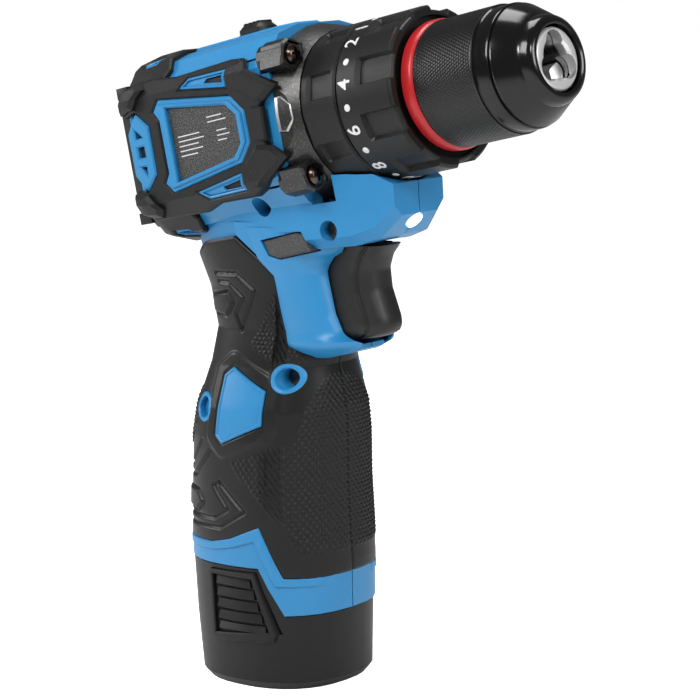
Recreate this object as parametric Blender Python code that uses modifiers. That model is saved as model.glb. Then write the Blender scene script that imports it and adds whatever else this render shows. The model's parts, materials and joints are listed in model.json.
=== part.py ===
"""Cordless drill driver, built as separate parts that fit and move.

World frame: metres, +Z up, origin at the centre of the battery's flat underside, +X towards the chuck,
+Y to the tool's left. The barrel leans back by BARREL_TILT, so everything on its axis hangs from the
empty "head", whose own X axis is the spindle's axis. Sizes below are in millimetres and become metres
where a vertex or a location is made.
"""

import math

import bmesh
import bpy
from mathutils import Matrix, Vector

MM = 0.001
GAP = 0.3  # clearance between parts that touch
COIL_STEPS = 8  # points in one turn of a spring

# ---- the two frames
BARREL_TILT = math.radians(10.0)
HEAD_ORIGIN = (74.2, 0.0, 175.1)  # where the spindle's axis meets the chuck's rear face

# ---- barrel, along the head's X axis
MOTOR_REAR = -104.3
MOTOR_FRONT = -42.8
MOTOR_HALF_WIDTH = 23.5
MOTOR_HALF_HEIGHT = 26.2
MOTOR_BORE = 20.6
BUMPER_REAR = -110.0
GUARD_THICKNESS = 2.0
# upper halves of the side guard's outline, of its window and of the plate in it, as (x, z)
GUARD_HALF = (
    (-47.0, 5.0), (-41.5, 10.8), (-51.5, 17.5), (-52.0, 19.8), (-92.0, 20.6), (-103.6, 19.0), (-103.8, 11.0),
    (-98.0, 8.6),
)
WINDOW_HALF = ((-55.4, 4.5), (-60.2, 9.7), (-89.6, 13.7), (-92.6, 10.4), (-90.6, 7.6))
PLATE_HALF = ((-59.0, 4.0), (-62.6, 7.6), (-86.4, 10.6))
FLANGE_FRONT = -34.5
GEAR_BORE = 17.8
MODE_RING_R = 22.9
MODE_RING_SPAN = (-34.0, -21.1)
TORQUE_RING_R = 22.6
TORQUE_RING_SPAN = (-20.8, -0.8)
NOSE_TUBE_R = 13.8
SCREW_Y = 20.2
SCREW_Z = 17.0

# ---- gears: teeth, module, and where each stage lies
STAGE_1 = {"sun": 12, "planet": 15, "ring": 42, "module": 0.70, "x": (-56.0, -49.6)}
STAGE_2 = {"sun": 15, "planet": 15, "ring": 45, "module": 0.65, "x": (-46.2, -39.8)}
PLANETS = 3
PIN_R = 1.6

# ---- chuck
SLEEVE_R = 18.5
CHUCK_BODY_R = 14.1
CHUCK_NOSE = 39.2
BIT_BORE = 5.4
JAW_R = 3.2
JAW_LEAN = math.radians(14.0)
JAW_AXIS_R = 4.2  # distance of a jaw's axis from the spindle's axis at the nose face
JAW_SPAN = (14.5, 33.0)
REST_OPENING = 9.0
CLOSED_OPENING = 0.8

# ---- handle: height, centre, half length and half width of each section, over the rubber
HANDLE = (
    (20.5, 0.3, 27.6, 23.2),
    (37.0, 1.0, 27.8, 23.3),
    (60.0, 2.0, 26.9, 22.6),
    (74.0, 3.2, 26.6, 22.2),
    (83.0, 4.4, 25.6, 21.3),
    (95.5, 6.0, 22.0, 17.8),
    (106.0, 8.0, 21.2, 16.2),
    (118.0, 8.0, 23.4, 16.6),
    (128.0, 6.6, 26.4, 17.4),
    (138.0, 6.0, 28.6, 18.2),
)
HANDLE_POWER = 2.4
RUBBER = 1.0
SHELL = 1.6
BAND_FRONT_Z = 23.0
BAND_REAR_Z = 37.0
STEP_X = (11.8, 18.6)  # where the battery's joint line drops from the rear level to the front level
BAND_TOP = 45.0

# ---- trigger housing under the gear case: x, lower z, upper z, half width
NOSE_BLOCK = (
    (-15.0, 136.0, 152.0, 16.5),
    (8.0, 135.0, 153.0, 17.6),
    (24.5, 127.2, 153.0, 17.3),
    (34.0, 130.3, 153.0, 16.7),
    (48.0, 131.5, 153.0, 14.6),
    (56.0, 134.0, 152.0, 12.6),
    (62.0, 140.0, 149.0, 10.4),
)
NOSE_HOLLOW = ((-10.0, 126.0, 146.0, 12.5), (30.0, 126.0, 146.0, 12.5), (52.0, 134.5, 144.5, 9.0))
GUARD_LIP = (
    (26.9, 98.2, 101.7, 8.6),
    (31.0, 98.2, 101.9, 8.6),
    (37.0, 99.4, 102.1, 8.0),
    (41.2, 100.8, 102.2, 5.4),
)
# side view of the rubber on the grip, and of the blue shell that stands flush with it round the trigger
GRIP_REGION = (
    (-40.0, 124.5), (-14.0, 128.0), (-8.0, 131.4), (6.0, 133.6), (15.0, 127.0), (21.0, 120.5),
    (23.0, 115.0), (25.1, 102.6), (26.6, 97.4), (60.0, 95.5), (60.0, 36.0), (21.0, 36.0),
    (15.0, 49.4), (2.4, 46.4), (-40.0, 46.4),
)
FLUSH_REGION = (
    (7.0, 134.0), (15.4, 127.4), (21.4, 120.8), (23.4, 115.2), (25.5, 102.9), (27.0, 97.8), (60.0, 95.9),
    (60.0, 142.0), (7.0, 142.0),
)
LIGHT_PLACE = (56.4, 0.0, 141.0)
LIGHT_TURN = (0.0, math.radians(43.0), 0.0)
TRIGGER_HALF_WIDTH = 8.4
TRIGGER_OUTLINE = (
    (25.0, 104.0), (38.6, 102.8), (48.0, 104.4), (52.0, 106.8), (52.8, 110.0), (51.0, 114.4),
    (49.2, 119.4), (49.6, 124.0), (51.4, 127.8), (54.0, 130.8), (42.6, 130.8), (36.2, 126.8), (25.0, 126.8),
)
SELECTOR_OUTLINE = ((16.0, 132.6), (18.4, 134.6), (31.4, 135.4), (34.2, 131.2), (31.6, 128.2), (18.0, 127.8))

# ---- battery
FOOT = ((0.0, 0.0, 23.6, 20.2), (2.4, 0.1, 25.7, 22.1), (20.0, 0.4, 26.8, 22.7), (37.0, 0.9, 27.4, 23.0))
STEM_X = 2.4
STEM_HALF = (22.2, 18.2)
STEM_POWER = 2.6
STEM_TOP = 72.5
STEM_WALL = 0.7
CELL_R = 8.8
CELL_SPAN = (3.4, 68.4)
CELL_PLACES = ((9.0, -7.2), (-9.0, -7.2), (0.0, 8.0))
LATCH_OUTLINE = ((-6.6, 35.2), (10.6, 35.2), (17.0, 17.6), (-4.0, 17.6))
LATCH_SPAN = (20.7, 23.2)  # from the middle plane to the button's back and face
LATCH_POCKET = 18.7

SHELL_SCREWS = ((18.5, 142.4, 11.0), (41.4, 136.0, 11.0), (21.4, 92.6, 9.4))  # x, z, depth of the head's face

COLOURS = {
    "blue_shell": ((0.035, 0.235, 0.55), 0.45, 0.0),
    "black_rubber": ((0.02, 0.02, 0.022), 0.75, 0.0),
    "black_plastic": ((0.018, 0.018, 0.02), 0.45, 0.0),
    "gunmetal": ((0.09, 0.09, 0.095), 0.42, 0.8),
    "black_metal": ((0.015, 0.015, 0.016), 0.25, 0.9),
    "steel": ((0.55, 0.55, 0.56), 0.3, 1.0),
    "screw_steel": ((0.06, 0.055, 0.05), 0.3, 1.0),
    "red_anodised": ((0.6, 0.02, 0.03), 0.35, 0.4),
    "label": ((0.07, 0.07, 0.075), 0.6, 0.0),
    "board": ((0.01, 0.12, 0.04), 0.5, 0.0),
    "copper": ((0.7, 0.28, 0.12), 0.35, 1.0),
    "lens": ((0.9, 0.93, 1.0), 0.08, 0.0),
    "cell_wrap": ((0.05, 0.35, 0.3), 0.4, 0.0),
}

parts = None
cutters = None
head = None
materials = {}


# ------------------------------------------------------------------ scene and small helpers


def clear_scene():
    for old in list(bpy.data.objects):
        bpy.data.objects.remove(old)


def new_collection(name):
    collection = bpy.data.collections.new(name)
    bpy.context.scene.collection.children.link(collection)
    return collection


def material(name):
    """The Principled material of one finish, made once."""
    if name not in materials:
        colour, roughness, metallic = COLOURS[name]
        finish = bpy.data.materials.new(name)
        finish.use_nodes = True
        shader = finish.node_tree.nodes["Principled BSDF"]
        shader.inputs["Base Color"].default_value = (*colour, 1.0)
        shader.inputs["Roughness"].default_value = roughness
        shader.inputs["Metallic"].default_value = metallic
        finish.diffuse_color = (*colour, 1.0)
        materials[name] = finish
    return materials[name]


def place(name, mesh, finish=None, parent=None, at=(0.0, 0.0, 0.0), turn=(0.0, 0.0, 0.0)):
    """Put a mesh in the scene: a part when it has a finish, a cutter when it has none."""
    thing = bpy.data.objects.new(name, mesh)
    (parts if finish else cutters).objects.link(thing)
    thing.location = Vector(at) * MM
    thing.rotation_euler = turn
    thing.parent = parent
    if finish:
        mesh.materials.clear()
        own = material(finish).copy()
        own.name = f"{name}_{finish}"
        mesh.materials.append(own)
    else:
        thing.hide_render = True
        thing.display_type = "WIRE"
    return thing


def finished(name, bm):
    """Close a bmesh into a mesh with outward normals."""
    bmesh.ops.recalc_face_normals(bm, faces=bm.faces)
    mesh = bpy.data.meshes.new(name)
    bm.to_mesh(mesh)
    bm.free()
    return mesh


def box_mesh(name, low, high):
    bm = bmesh.new()
    bmesh.ops.create_cube(bm, size=1.0)
    size = Vector(high) - Vector(low)
    middle = (Vector(high) + Vector(low)) / 2.0
    bmesh.ops.transform(bm, matrix=Matrix.Diagonal((*(size * MM), 1.0)), verts=bm.verts)
    bmesh.ops.translate(bm, vec=middle * MM, verts=bm.verts)
    return finished(name, bm)


def rod_mesh(name, radius, low, high, axis="X", steps=24):
    """A round bar along an axis from low to high."""
    bm = bmesh.new()
    bmesh.ops.create_cone(
        bm, cap_ends=True, segments=steps, radius1=radius * MM, radius2=radius * MM, depth=(high - low) * MM
    )
    bmesh.ops.translate(bm, vec=(0, 0, (low + high) / 2.0 * MM), verts=bm.verts)
    quarter = math.pi / 2
    turn = {"X": Matrix.Rotation(quarter, 4, "Y"), "Y": Matrix.Rotation(-quarter, 4, "X"), "Z": Matrix()}
    bmesh.ops.transform(bm, matrix=turn[axis], verts=bm.verts)
    return finished(name, bm)


def prism_mesh(name, outline, low, high, plane="XZ"):
    """A flat outline drawn in a plane and extruded across it from low to high."""
    bm = bmesh.new()
    lift = {
        "XZ": lambda p, d: (p[0], d, p[1]),
        "YZ": lambda p, d: (d, p[0], p[1]),
        "XY": lambda p, d: (p[0], p[1], d),
    }[plane]
    face = bm.faces.new([bm.verts.new(Vector(lift(p, low)) * MM) for p in outline])
    grown = bmesh.ops.extrude_face_region(bm, geom=[face])
    moved = [v for v in grown["geom"] if isinstance(v, bmesh.types.BMVert)]
    bmesh.ops.translate(bm, vec=Vector(lift((0.0, 0.0), high - low)) * MM, verts=moved)
    return finished(name, bm)


def loft_mesh(name, rings):
    """A closed skin through rings of points that all have the same count, capped at both ends."""
    bm = bmesh.new()
    loops = [[bm.verts.new(Vector(p) * MM) for p in ring] for ring in rings]
    count = len(loops[0])
    for below, above in zip(loops, loops[1:]):
        for i in range(count):
            j = (i + 1) % count
            bm.faces.new((below[i], below[j], above[j], above[i]))
    bm.faces.new(loops[0])
    bm.faces.new(loops[-1])
    return finished(name, bm)


def superellipse(half_x, half_y, power, steps):
    """Points round a rounded outline: power 2 is an ellipse, a higher power is squarer."""
    points = []
    for i in range(steps):
        c, s = math.cos(math.tau * i / steps), math.sin(math.tau * i / steps)
        points.append((
            half_x * math.copysign(abs(c) ** (2.0 / power), c),
            half_y * math.copysign(abs(s) ** (2.0 / power), s),
        ))
    return points


def lathe(name, finish, outer, inner=(), parent=None, steps=32):
    """Turn a profile about the head's X axis. outer runs (x, radius) from the front to the rear, and
    inner, where the piece has a bore, runs back from the rear to the front."""
    profile = list(outer) + list(inner)
    bm = bmesh.new()
    if inner:
        verts = [bm.verts.new((r * MM, 0.0, x * MM)) for x, r in profile]
        pairs = zip(verts, verts[1:] + verts[:1])
    else:
        profile = [(outer[0][0], 0.0)] + profile + [(outer[-1][0], 0.0)]
        verts = [bm.verts.new((r * MM, 0.0, x * MM)) for x, r in profile]
        pairs = zip(verts, verts[1:])
    for a, b in pairs:
        bm.edges.new((a, b))
    mesh = bpy.data.meshes.new(name)
    bm.to_mesh(mesh)
    bm.free()
    turned = place(name, mesh, finish, parent, turn=(0.0, math.pi / 2, 0.0))
    screw = turned.modifiers.new("turn", "SCREW")
    screw.axis = "Z"
    screw.steps = steps
    screw.render_steps = steps
    screw.use_merge_vertices = True
    screw.merge_threshold = 0.00001
    screw.use_smooth_shade = True
    return turned


def boolean(thing, other, operation):
    """Cut, join or intersect with another object, which stays in the scene as a cutter."""
    step = thing.modifiers.new(f"{operation.lower()}_{other.name}", "BOOLEAN")
    step.operation = operation
    step.solver = "EXACT"
    step.object = other
    return thing


def cut(thing, *others):
    for other in others:
        boolean(thing, other, "DIFFERENCE")
    return thing


def join(thing, *others):
    for other in others:
        boolean(thing, other, "UNION")
    return thing


def keep(thing, *others):
    for other in others:
        boolean(thing, other, "INTERSECT")
    return thing


def evaluated_mesh(thing, name):
    """The mesh of an object after its modifiers, in the object's own space."""
    bpy.context.view_layer.update()
    graph = bpy.context.evaluated_depsgraph_get()
    mesh = bpy.data.meshes.new_from_object(thing.evaluated_get(graph))
    mesh.name = name
    return mesh


def ring_point(radius, angle):
    """A point round the head's X axis: angle 0 is +Y and a quarter turn is +Z."""
    return radius * math.cos(angle), radius * math.sin(angle)


# ------------------------------------------------------------------ handle and barrel forms


def handle_rings(inset, low, high, steps=28):
    """The handle's sections between two heights, pulled in by inset all round."""
    levels = [low] + [z for z, *_ in HANDLE if low < z < high] + [high]
    rings = []
    for z in levels:
        upper = next(i for i, row in enumerate(HANDLE) if row[0] >= z or row is HANDLE[-1])
        upper = max(upper, 1)
        a, b = HANDLE[upper - 1], HANDLE[upper]
        t = (z - a[0]) / (b[0] - a[0])
        centre, half_x, half_y = (a[k] + t * (b[k] - a[k]) for k in (1, 2, 3))
        outline = superellipse(half_x - inset, half_y - inset, HANDLE_POWER, steps)
        rings.append([(centre + x, y, z) for x, y in outline])
    return rings


def barrel_outline(grow):
    """The motor casing's section: flat sides, top and bottom with two-step corners."""
    w, h = MOTOR_HALF_WIDTH + grow, MOTOR_HALF_HEIGHT + grow
    quarter = [(w, 15.5), (17.0 + 0.7 * grow, 24.0 + 0.7 * grow), (8.5, h)]
    right = quarter + [(-y, z) for y, z in reversed(quarter)]
    return right + [(y, -z) for y, z in reversed(right)]


def barrel_rings(grow, stations):
    """The casing's section at each (x, shrink) station of the head."""
    rings = []
    for x, shrink in stations:
        rings.append([(x, y * shrink, z * shrink) for y, z in barrel_outline(grow)])
    return rings


def box_ring(x, low, high, half):
    """Four corners of an upright rectangle across the tool at x."""
    return [(x, half, low), (x, half, high), (x, -half, high), (x, -half, low)]


def chamfered_ring(x, low, high, half):
    """The same rectangle with its lower corners cut off."""
    chamfer = 0.45 * (high - low)
    right = [(half - chamfer, low), (half, low + chamfer), (half, high)]
    return [(x, y, z) for y, z in right + [(-y, z) for y, z in reversed(right)]]


def battery_joint(offset):
    """The side view below the stepped line where the battery foot meets the handle."""
    front, rear = BAND_FRONT_Z + offset, BAND_REAR_Z + offset
    return ((-60, rear), (STEP_X[0], rear), (STEP_X[1], front), (60, front), (60, -20), (-60, -20))


def build_forms():
    """Solids that only cut or join other parts."""
    forms = {}
    core = handle_rings(RUBBER + GAP, 30.0, 138.0)
    forms["handle_core"] = place("handle_core", loft_mesh("handle_core", core))
    forms["flush"] = place("flush", loft_mesh("flush", handle_rings(0.0, 94.0, 137.8)))
    keep(forms["flush"], place("flush_region", prism_mesh("flush_region", FLUSH_REGION, -40, 40)))
    forms["handle_hollow"] = place(
        "handle_hollow", loft_mesh("handle_hollow", handle_rings(RUBBER + GAP + SHELL, 10.0, 132.0))
    )
    band_rings = handle_rings(0.0, 20.5, BAND_TOP)
    forms["band"] = place("band", loft_mesh("band", band_rings))
    stations = ((MOTOR_REAR, 0.93), (MOTOR_REAR + 5.0, 1.0), (MOTOR_FRONT, 1.0))
    forms["barrel"] = place("barrel", loft_mesh("barrel", barrel_rings(0.0, stations)), parent=head)
    clear = ((MOTOR_REAR - 1.0, 0.92), (MOTOR_REAR + 5.0, 1.0), (MOTOR_FRONT + 1.0, 1.0))
    clear_mesh = loft_mesh("barrel_clear", barrel_rings(GAP, clear))
    forms["barrel_clear"] = place("barrel_clear", clear_mesh, parent=head)
    forms["motor_bore"] = place(
        "motor_bore", rod_mesh("motor_bore", MOTOR_BORE, MOTOR_REAR + 2.2, 0.0, steps=36), parent=head
    )
    block = []
    for x, low, high, half in NOSE_BLOCK:
        right = [(half - 3.0, low), (half, low + 3.0), (half, high)]
        block.append([(x, y, z) for y, z in right + [(-y, z) for y, z in reversed(right)]])
    forms["nose_block"] = place("nose_block", loft_mesh("nose_block", block))
    room = [box_ring(x, low - GAP, high, half + GAP) for x, low, high, half in NOSE_BLOCK]
    forms["nose_clear"] = place("nose_clear", loft_mesh("nose_clear", room))
    hollow = [box_ring(*station) for station in NOSE_HOLLOW]
    forms["nose_hollow"] = place("nose_hollow", loft_mesh("nose_hollow", hollow))
    lip = [chamfered_ring(*station) for station in GUARD_LIP]
    forms["guard_lip"] = place("guard_lip", loft_mesh("guard_lip", lip))
    round_room = rod_mesh("ring_clear", MODE_RING_R + 0.6, FLANGE_FRONT - 0.4, 10.0, steps=40)
    forms["ring_clear"] = place("ring_clear", round_room, parent=head)
    flange_room = barrel_rings(0.7, ((MOTOR_FRONT, 1.0), (FLANGE_FRONT, 1.0)))
    forms["flange_clear"] = place("flange_clear", loft_mesh("flange_clear", flange_room), parent=head)
    forms["right_side"] = place("right_side", box_mesh("right_side", (-80, -0.15, -20), (140, 60, 240)))
    forms["left_side"] = place("left_side", box_mesh("left_side", (-80, -60, -20), (140, 0.15, 240)))
    return forms


# ------------------------------------------------------------------ housing


def build_housing(forms):
    """Two blue half shells: motor casing, trigger housing, grip core and battery collar in one skin."""
    whole = place("whole_shell", forms["barrel"].data.copy(), parent=head)
    join(whole, forms["nose_block"], forms["handle_core"], forms["band"], forms["flush"])
    joint = place("battery_joint", prism_mesh("battery_joint", battery_joint(0.0), -40, 40))
    trigger_slot = place("trigger_slot", box_mesh("trigger_slot", (18, -8.9, 101.1), (66, 8.9, 131.8)))
    switch_slot = place("selector_slot", prism_mesh("selector_slot", grown(SELECTOR_OUTLINE, 0.5), -30, 30))
    speed_mesh = box_mesh("speed_slot", (-73.4, -5.0, 18.0), (-58.4, 5.0, 30.0))
    speed_slot = place("speed_slot", speed_mesh, parent=head)
    light_mesh = rod_mesh("light_seat", 3.0, -8.0, 20.0)
    light_seat = place("light_seat", light_mesh, at=LIGHT_PLACE, turn=LIGHT_TURN)
    cut(whole, forms["ring_clear"], forms["flange_clear"], joint, trigger_slot)
    cut(whole, forms["motor_bore"], forms["handle_hollow"], forms["nose_hollow"])
    cut(whole, switch_slot, speed_slot, light_seat)
    join(whole, forms["guard_lip"])
    for side in (-1, 1):
        for row, (low, high) in enumerate(((-12.5, -9.5), (-4.5, -1.5), (1.5, 4.5), (9.5, 12.5))):
            near, far = sorted((10.0 * side, 30.0 * side))
            slot = box_mesh(f"rear_vent_{side}_{row}", (-102.0, near, low), (-97.5, far, high))
            cut(whole, place(slot.name, slot, parent=head))
    for i, (y, z) in enumerate(gear_screw_places()):
        bore = place(f"casing_bore_{i}", rod_mesh("casing_bore", 1.8, -58.0, -40.0, steps=12),
                     parent=head, at=(0, y, z))
        notch = place(f"boss_notch_{i}", rod_mesh("boss_notch", 5.0, -46.4, -40.0, steps=16),
                      parent=head, at=(0, y, z))
        cut(whole, bore, notch)
    for i, (x, z, _) in enumerate(SHELL_SCREWS):
        cut(whole, place(f"shell_bore_{i}", rod_mesh("shell_bore", 2.9, -40.0, 40.0, "Y", 16), at=(x, 0, z)))
    mesh = evaluated_mesh(whole, "shell")
    for name, away in (("housing_right", "right_side"), ("housing_left", "left_side")):
        half = place(name, mesh.copy(), "blue_shell", parent=head)
        cut(half, forms[away])
    bpy.data.objects.remove(whole)


def grown(outline, amount):
    """An outline moved outward from its middle by about the given amount."""
    cx = sum(p[0] for p in outline) / len(outline)
    cz = sum(p[1] for p in outline) / len(outline)
    moved = []
    for x, z in outline:
        reach = math.hypot(x - cx, z - cz)
        moved.append((x + (x - cx) / reach * amount, z + (z - cz) / reach * amount))
    return moved


def build_grip(forms):
    """Rubber over the grip, one skin on each side, cut to the line where the blue shell shows."""
    side_view = place("grip_region", prism_mesh("grip_region", GRIP_REGION, -40, 40))
    inner = place("grip_inner", loft_mesh("grip_inner", handle_rings(RUBBER, 20.5, 138.0)))
    for name, away in (("grip_rubber_right", "right_side"), ("grip_rubber_left", "left_side")):
        skin = place(name, loft_mesh(name, handle_rings(0.0, 20.6, 137.9)), "black_rubber")
        keep(skin, side_view)
        cut(skin, inner, forms["barrel_clear"], forms["nose_clear"], forms[away])
        x, z, _ = SHELL_SCREWS[2]
        hole = rod_mesh(f"hole_in_{name}", 4.0, -40, 40, "Y", 16)
        cut(skin, place(hole.name, hole, at=(x, 0, z)))
    band_gap = place("band_gap", loft_mesh("band_gap", handle_rings(-0.1, 20.5, BAND_TOP + GAP)))
    for name in ("grip_rubber_right", "grip_rubber_left"):
        cut(bpy.data.objects[name], band_gap)


def build_guards(forms):
    """Black armour on each side of the motor casing, a frame round the rating plate's window."""
    outline = list(GUARD_HALF) + [(x, -z) for x, z in reversed(GUARD_HALF)]
    window = list(WINDOW_HALF) + [(x, -z) for x, z in reversed(WINDOW_HALF)]
    frame = place("guard_frame", prism_mesh("guard_frame", outline, -40, 40), parent=head)
    opening = place("guard_window", prism_mesh("guard_window", window, -40, 40), parent=head)
    stations = ((MOTOR_REAR, 0.94), (MOTOR_REAR + 5.0, 1.0), (MOTOR_FRONT + 0.2, 1.0))
    for name, side in (("side_guard_right", -1), ("side_guard_left", 1)):
        skin = loft_mesh(name, barrel_rings(GUARD_THICKNESS, stations))
        guard = place(name, skin, "black_rubber", parent=head)
        near, far = sorted((14.0 * side, 40.0 * side))
        cheek = box_mesh(f"cheek_{side}", (-120, near, -40), (0, far, 40))
        keep(guard, place(cheek.name, cheek, parent=head), frame)
        cut(guard, opening, forms["barrel_clear"])
        for i, (y, z) in enumerate(gear_screw_places()):
            if y * side > 0:
                notch = rod_mesh(f"guard_notch_{name}_{i}", 5.2, -47, -40, steps=16)
                cut(guard, place(notch.name, notch, parent=head, at=(0, y, z)))
    for name, side in (("rating_plate_right", -1), ("rating_plate_left", 1)):
        plate = list(PLATE_HALF) + [(x, -z) for x, z in reversed(PLATE_HALF)]
        face = MOTOR_HALF_WIDTH + GAP
        low, high = sorted((face * side, (face + 0.8) * side))
        place(name, prism_mesh(name, plate, low, high), "label", parent=head)


def build_bumper():
    """Rear armour: a frame with four corner lugs behind the casing."""
    x0, x1 = BUMPER_REAR, MOTOR_REAR - GAP
    rings = barrel_rings(0.0, ((x0, 0.80), (x0 + 2.0, 0.90), (x1, 0.93)))
    bumper = place("rear_bumper", loft_mesh("rear_bumper", rings), "black_rubber", parent=head)
    for i, (y, z) in enumerate(((-16, -17), (16, -17), (16, 17), (-16, 17))):
        low = (x0 + 0.4, min(y, y * 1.26), min(z, z * 1.2))
        high = (x1 - 0.2, max(y, y * 1.26), max(z, z * 1.2))
        lug = box_mesh(f"bumper_lug_{i}", low, high)
        join(bumper, place(lug.name, lug, parent=head))
    opening = [(y * 0.62, z * 0.62) for y, z in barrel_outline(0.0)]
    hole = prism_mesh("bumper_opening", opening, x0 - 2, x1 + 2, "YZ")
    cut(bumper, place("bumper_opening", hole, parent=head))


# ------------------------------------------------------------------ gear case and what it holds


def gear_screw_places():
    return [(y, z) for y in (-SCREW_Y, SCREW_Y) for z in (-SCREW_Z, SCREW_Z)]


def build_gear_case():
    """Cast case: a skirt inside the casing, a four-boss flange outside, and the nose tube."""
    outer = ((-5.0, NOSE_TUBE_R), (-21.0, NOSE_TUBE_R), (-21.0, 18.9), (FLANGE_FRONT + 0.2, 18.9),
             (FLANGE_FRONT + 0.2, 22.8), (-38.0, 24.6), (-42.4, 25.8), (-42.4, 20.2), (-59.5, 20.2))
    inner = ((-59.5, GEAR_BORE), (-36.5, GEAR_BORE), (-36.5, 6.5), (-33.5, 6.5), (-33.5, 11.6), (-5.0, 11.6))
    case = lathe("gear_housing", "gunmetal", outer, inner, parent=head, steps=28)
    section = prism_mesh("case_section", barrel_outline(0.3), -70, 0, "YZ")
    keep(case, place("case_section", section, parent=head))
    for i, (y, z) in enumerate(gear_screw_places()):
        there = (0, y, z)
        join(case, place(f"boss_{i}", rod_mesh("boss", 4.4, -46.0, -36.0, steps=12), parent=head, at=there))
        bore = rod_mesh("boss_bore", 1.7, -60, -30, steps=12)
        seat = rod_mesh("boss_seat", 3.5, -36.3, -30, steps=16)
        cut(case, place(f"boss_bore_{i}", bore, parent=head, at=there))
        cut(case, place(f"boss_seat_{i}", seat, parent=head, at=there))
        profile = ((-33.6, 1.6), (-34.2, 2.9), (-35.7, 3.1), (-35.7, 1.4), (-55.0, 1.4))
        screw = lathe(f"gearbox_screw_{i + 1}", "screw_steel", profile, parent=head, steps=16)
        screw.location = Vector(there) * MM


def gear_outline(teeth, module, internal=False):
    """Straight-flanked teeth with plenty of backlash: angle 0 is the middle of a tooth, or of a gap on a
    ring gear, so that the sun, planets and ring are in mesh as they stand."""
    pitch = teeth * module / 2.0
    step = math.tau / teeth
    tip, root = (pitch - 0.65 * module, pitch + 1.0 * module) if internal else (
        pitch + 0.65 * module, pitch - 1.0 * module)
    flank = ((root, -0.27), (tip, -0.12), (tip, 0.12), (root, 0.27))
    start = step / 2.0 if internal else 0.0
    points = []
    for tooth in range(teeth):
        for radius, share in flank:
            points.append(ring_point(radius, start + step * (tooth + share)))
    return points


def gear(name, teeth, stage, span, at=(0, 0, 0), bore=0.0):
    """A spur gear of one stage's module, with a plain bore if it turns on a pin."""
    wheel = place(name, prism_mesh(name, gear_outline(teeth, stage["module"]), *span, "YZ"), "steel", head, at)
    if bore:
        hole = rod_mesh(f"{name}_bore", bore, span[0] - 1, span[1] + 1, steps=10)
        cut(wheel, place(hole.name, hole, parent=head, at=at))


def ring_gear(name, stage):
    low, high = stage["x"]
    ring = place(name, rod_mesh(name, GEAR_BORE - GAP, low - 0.3, high + 0.3, steps=24), "steel", head)
    outline = gear_outline(stage["ring"], stage["module"], internal=True)
    teeth = prism_mesh(f"{name}_teeth", outline, low - 2, high + 2, "YZ")
    cut(ring, place(teeth.name, teeth, parent=head))


def planet_places(stage):
    distance = (stage["sun"] + stage["planet"]) * stage["module"] / 2.0
    return [ring_point(distance, math.tau * i / PLANETS) for i in range(PLANETS)]


def build_gears():
    """Two planetary stages: each has a fixed ring gear and three planets on pins."""
    for number, stage in ((1, STAGE_1), (2, STAGE_2)):
        ring_gear(f"ring_gear_{number}", stage)
        for i, (y, z) in enumerate(planet_places(stage)):
            name = f"planet_{number}_{i + 1}"
            gear(name, stage["planet"], stage, stage["x"], at=(0, y, z), bore=PIN_R + GAP)
    plate_rear = STAGE_1["x"][1] + 0.4
    sun_rear = plate_rear + 2.4
    carrier = lathe("carrier_1", "steel", ((sun_rear, 13.4), (plate_rear, 13.4)), parent=head, steps=28)
    sun_teeth = gear_outline(STAGE_2["sun"], STAGE_2["module"])
    sun = prism_mesh("second_sun", sun_teeth, sun_rear - 0.5, STAGE_2["x"][1], "YZ")
    join(carrier, place("second_sun", sun, parent=head))
    for i, (y, z) in enumerate(planet_places(STAGE_1)):
        pin = rod_mesh(f"pin_1_{i}", PIN_R, STAGE_1["x"][0] + 0.5, plate_rear + 0.5, steps=12)
        join(carrier, place(pin.name, pin, parent=head, at=(0, y, z)))


def build_spindle():
    """Output shaft: the second stage's carrier plate and its pins, and the shaft that the chuck screws on."""
    plate_rear = STAGE_2["x"][1] + 0.4
    profile = ((9.2, 4.6), (8.6, 5.0), (-36.9, 5.0), (-36.9, 13.4), (plate_rear, 13.4))
    spindle = lathe("spindle", "steel", profile, parent=head, steps=28)
    for i, (y, z) in enumerate(planet_places(STAGE_2)):
        pin = rod_mesh(f"pin_2_{i}", PIN_R, STAGE_2["x"][0] + 0.5, plate_rear + 0.5, steps=12)
        join(spindle, place(pin.name, pin, parent=head, at=(0, y, z)))
    thread = rod_mesh("spindle_thread", 2.4, -8.0, 12.0, steps=16)
    cut(spindle, place("spindle_thread", thread, parent=head))
    lathe("spindle_bearing", "steel", ((-7.0, 11.3), (-14.0, 11.3)), ((-14.0, 5.3), (-7.0, 5.3)), head, 28)


def build_motor():
    """Brushless motor: wound stator, rotor on its shaft with the pinion, cooling fan and rear bearing."""
    lathe("motor_stator", "copper", ((-62.0, 18.8), (-66.0, 20.2), (-86.0, 20.2), (-90.0, 18.8)),
          ((-90.0, 12.4), (-86.0, 11.2), (-66.0, 11.2), (-62.0, 12.4)), head, 32)
    shaft = ((-57.4, 2.5), (-65.0, 2.5), (-65.0, 10.4), (-87.0, 10.4), (-87.0, 2.5), (-101.4, 2.5))
    lathe("rotor", "steel", shaft, parent=head, steps=24)
    lathe("rear_bearing", "steel", ((-90.6, 8.0), (-94.6, 8.0)), ((-94.6, 2.8), (-90.6, 2.8)), head, 24)
    gear("motor_pinion", STAGE_1["sun"], STAGE_1, (-57.1, -49.9))
    fan = lathe("cooling_fan", "black_plastic",
                ((-95.4, 6.0), (-98.6, 7.0), (-98.6, 19.4), (-99.8, 19.4)), ((-99.8, 2.8), (-95.4, 2.8)),
                head, 28)
    for i in range(9):
        angle = math.tau * i / 9
        blade = box_mesh(f"fan_blade_{i}", (-99.2, 5.0, -0.5), (-95.6, 19.0, 0.5))
        join(fan, place(blade.name, blade, parent=head, turn=(angle, 0, 0)))


# ------------------------------------------------------------------ rings and clutch


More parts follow.
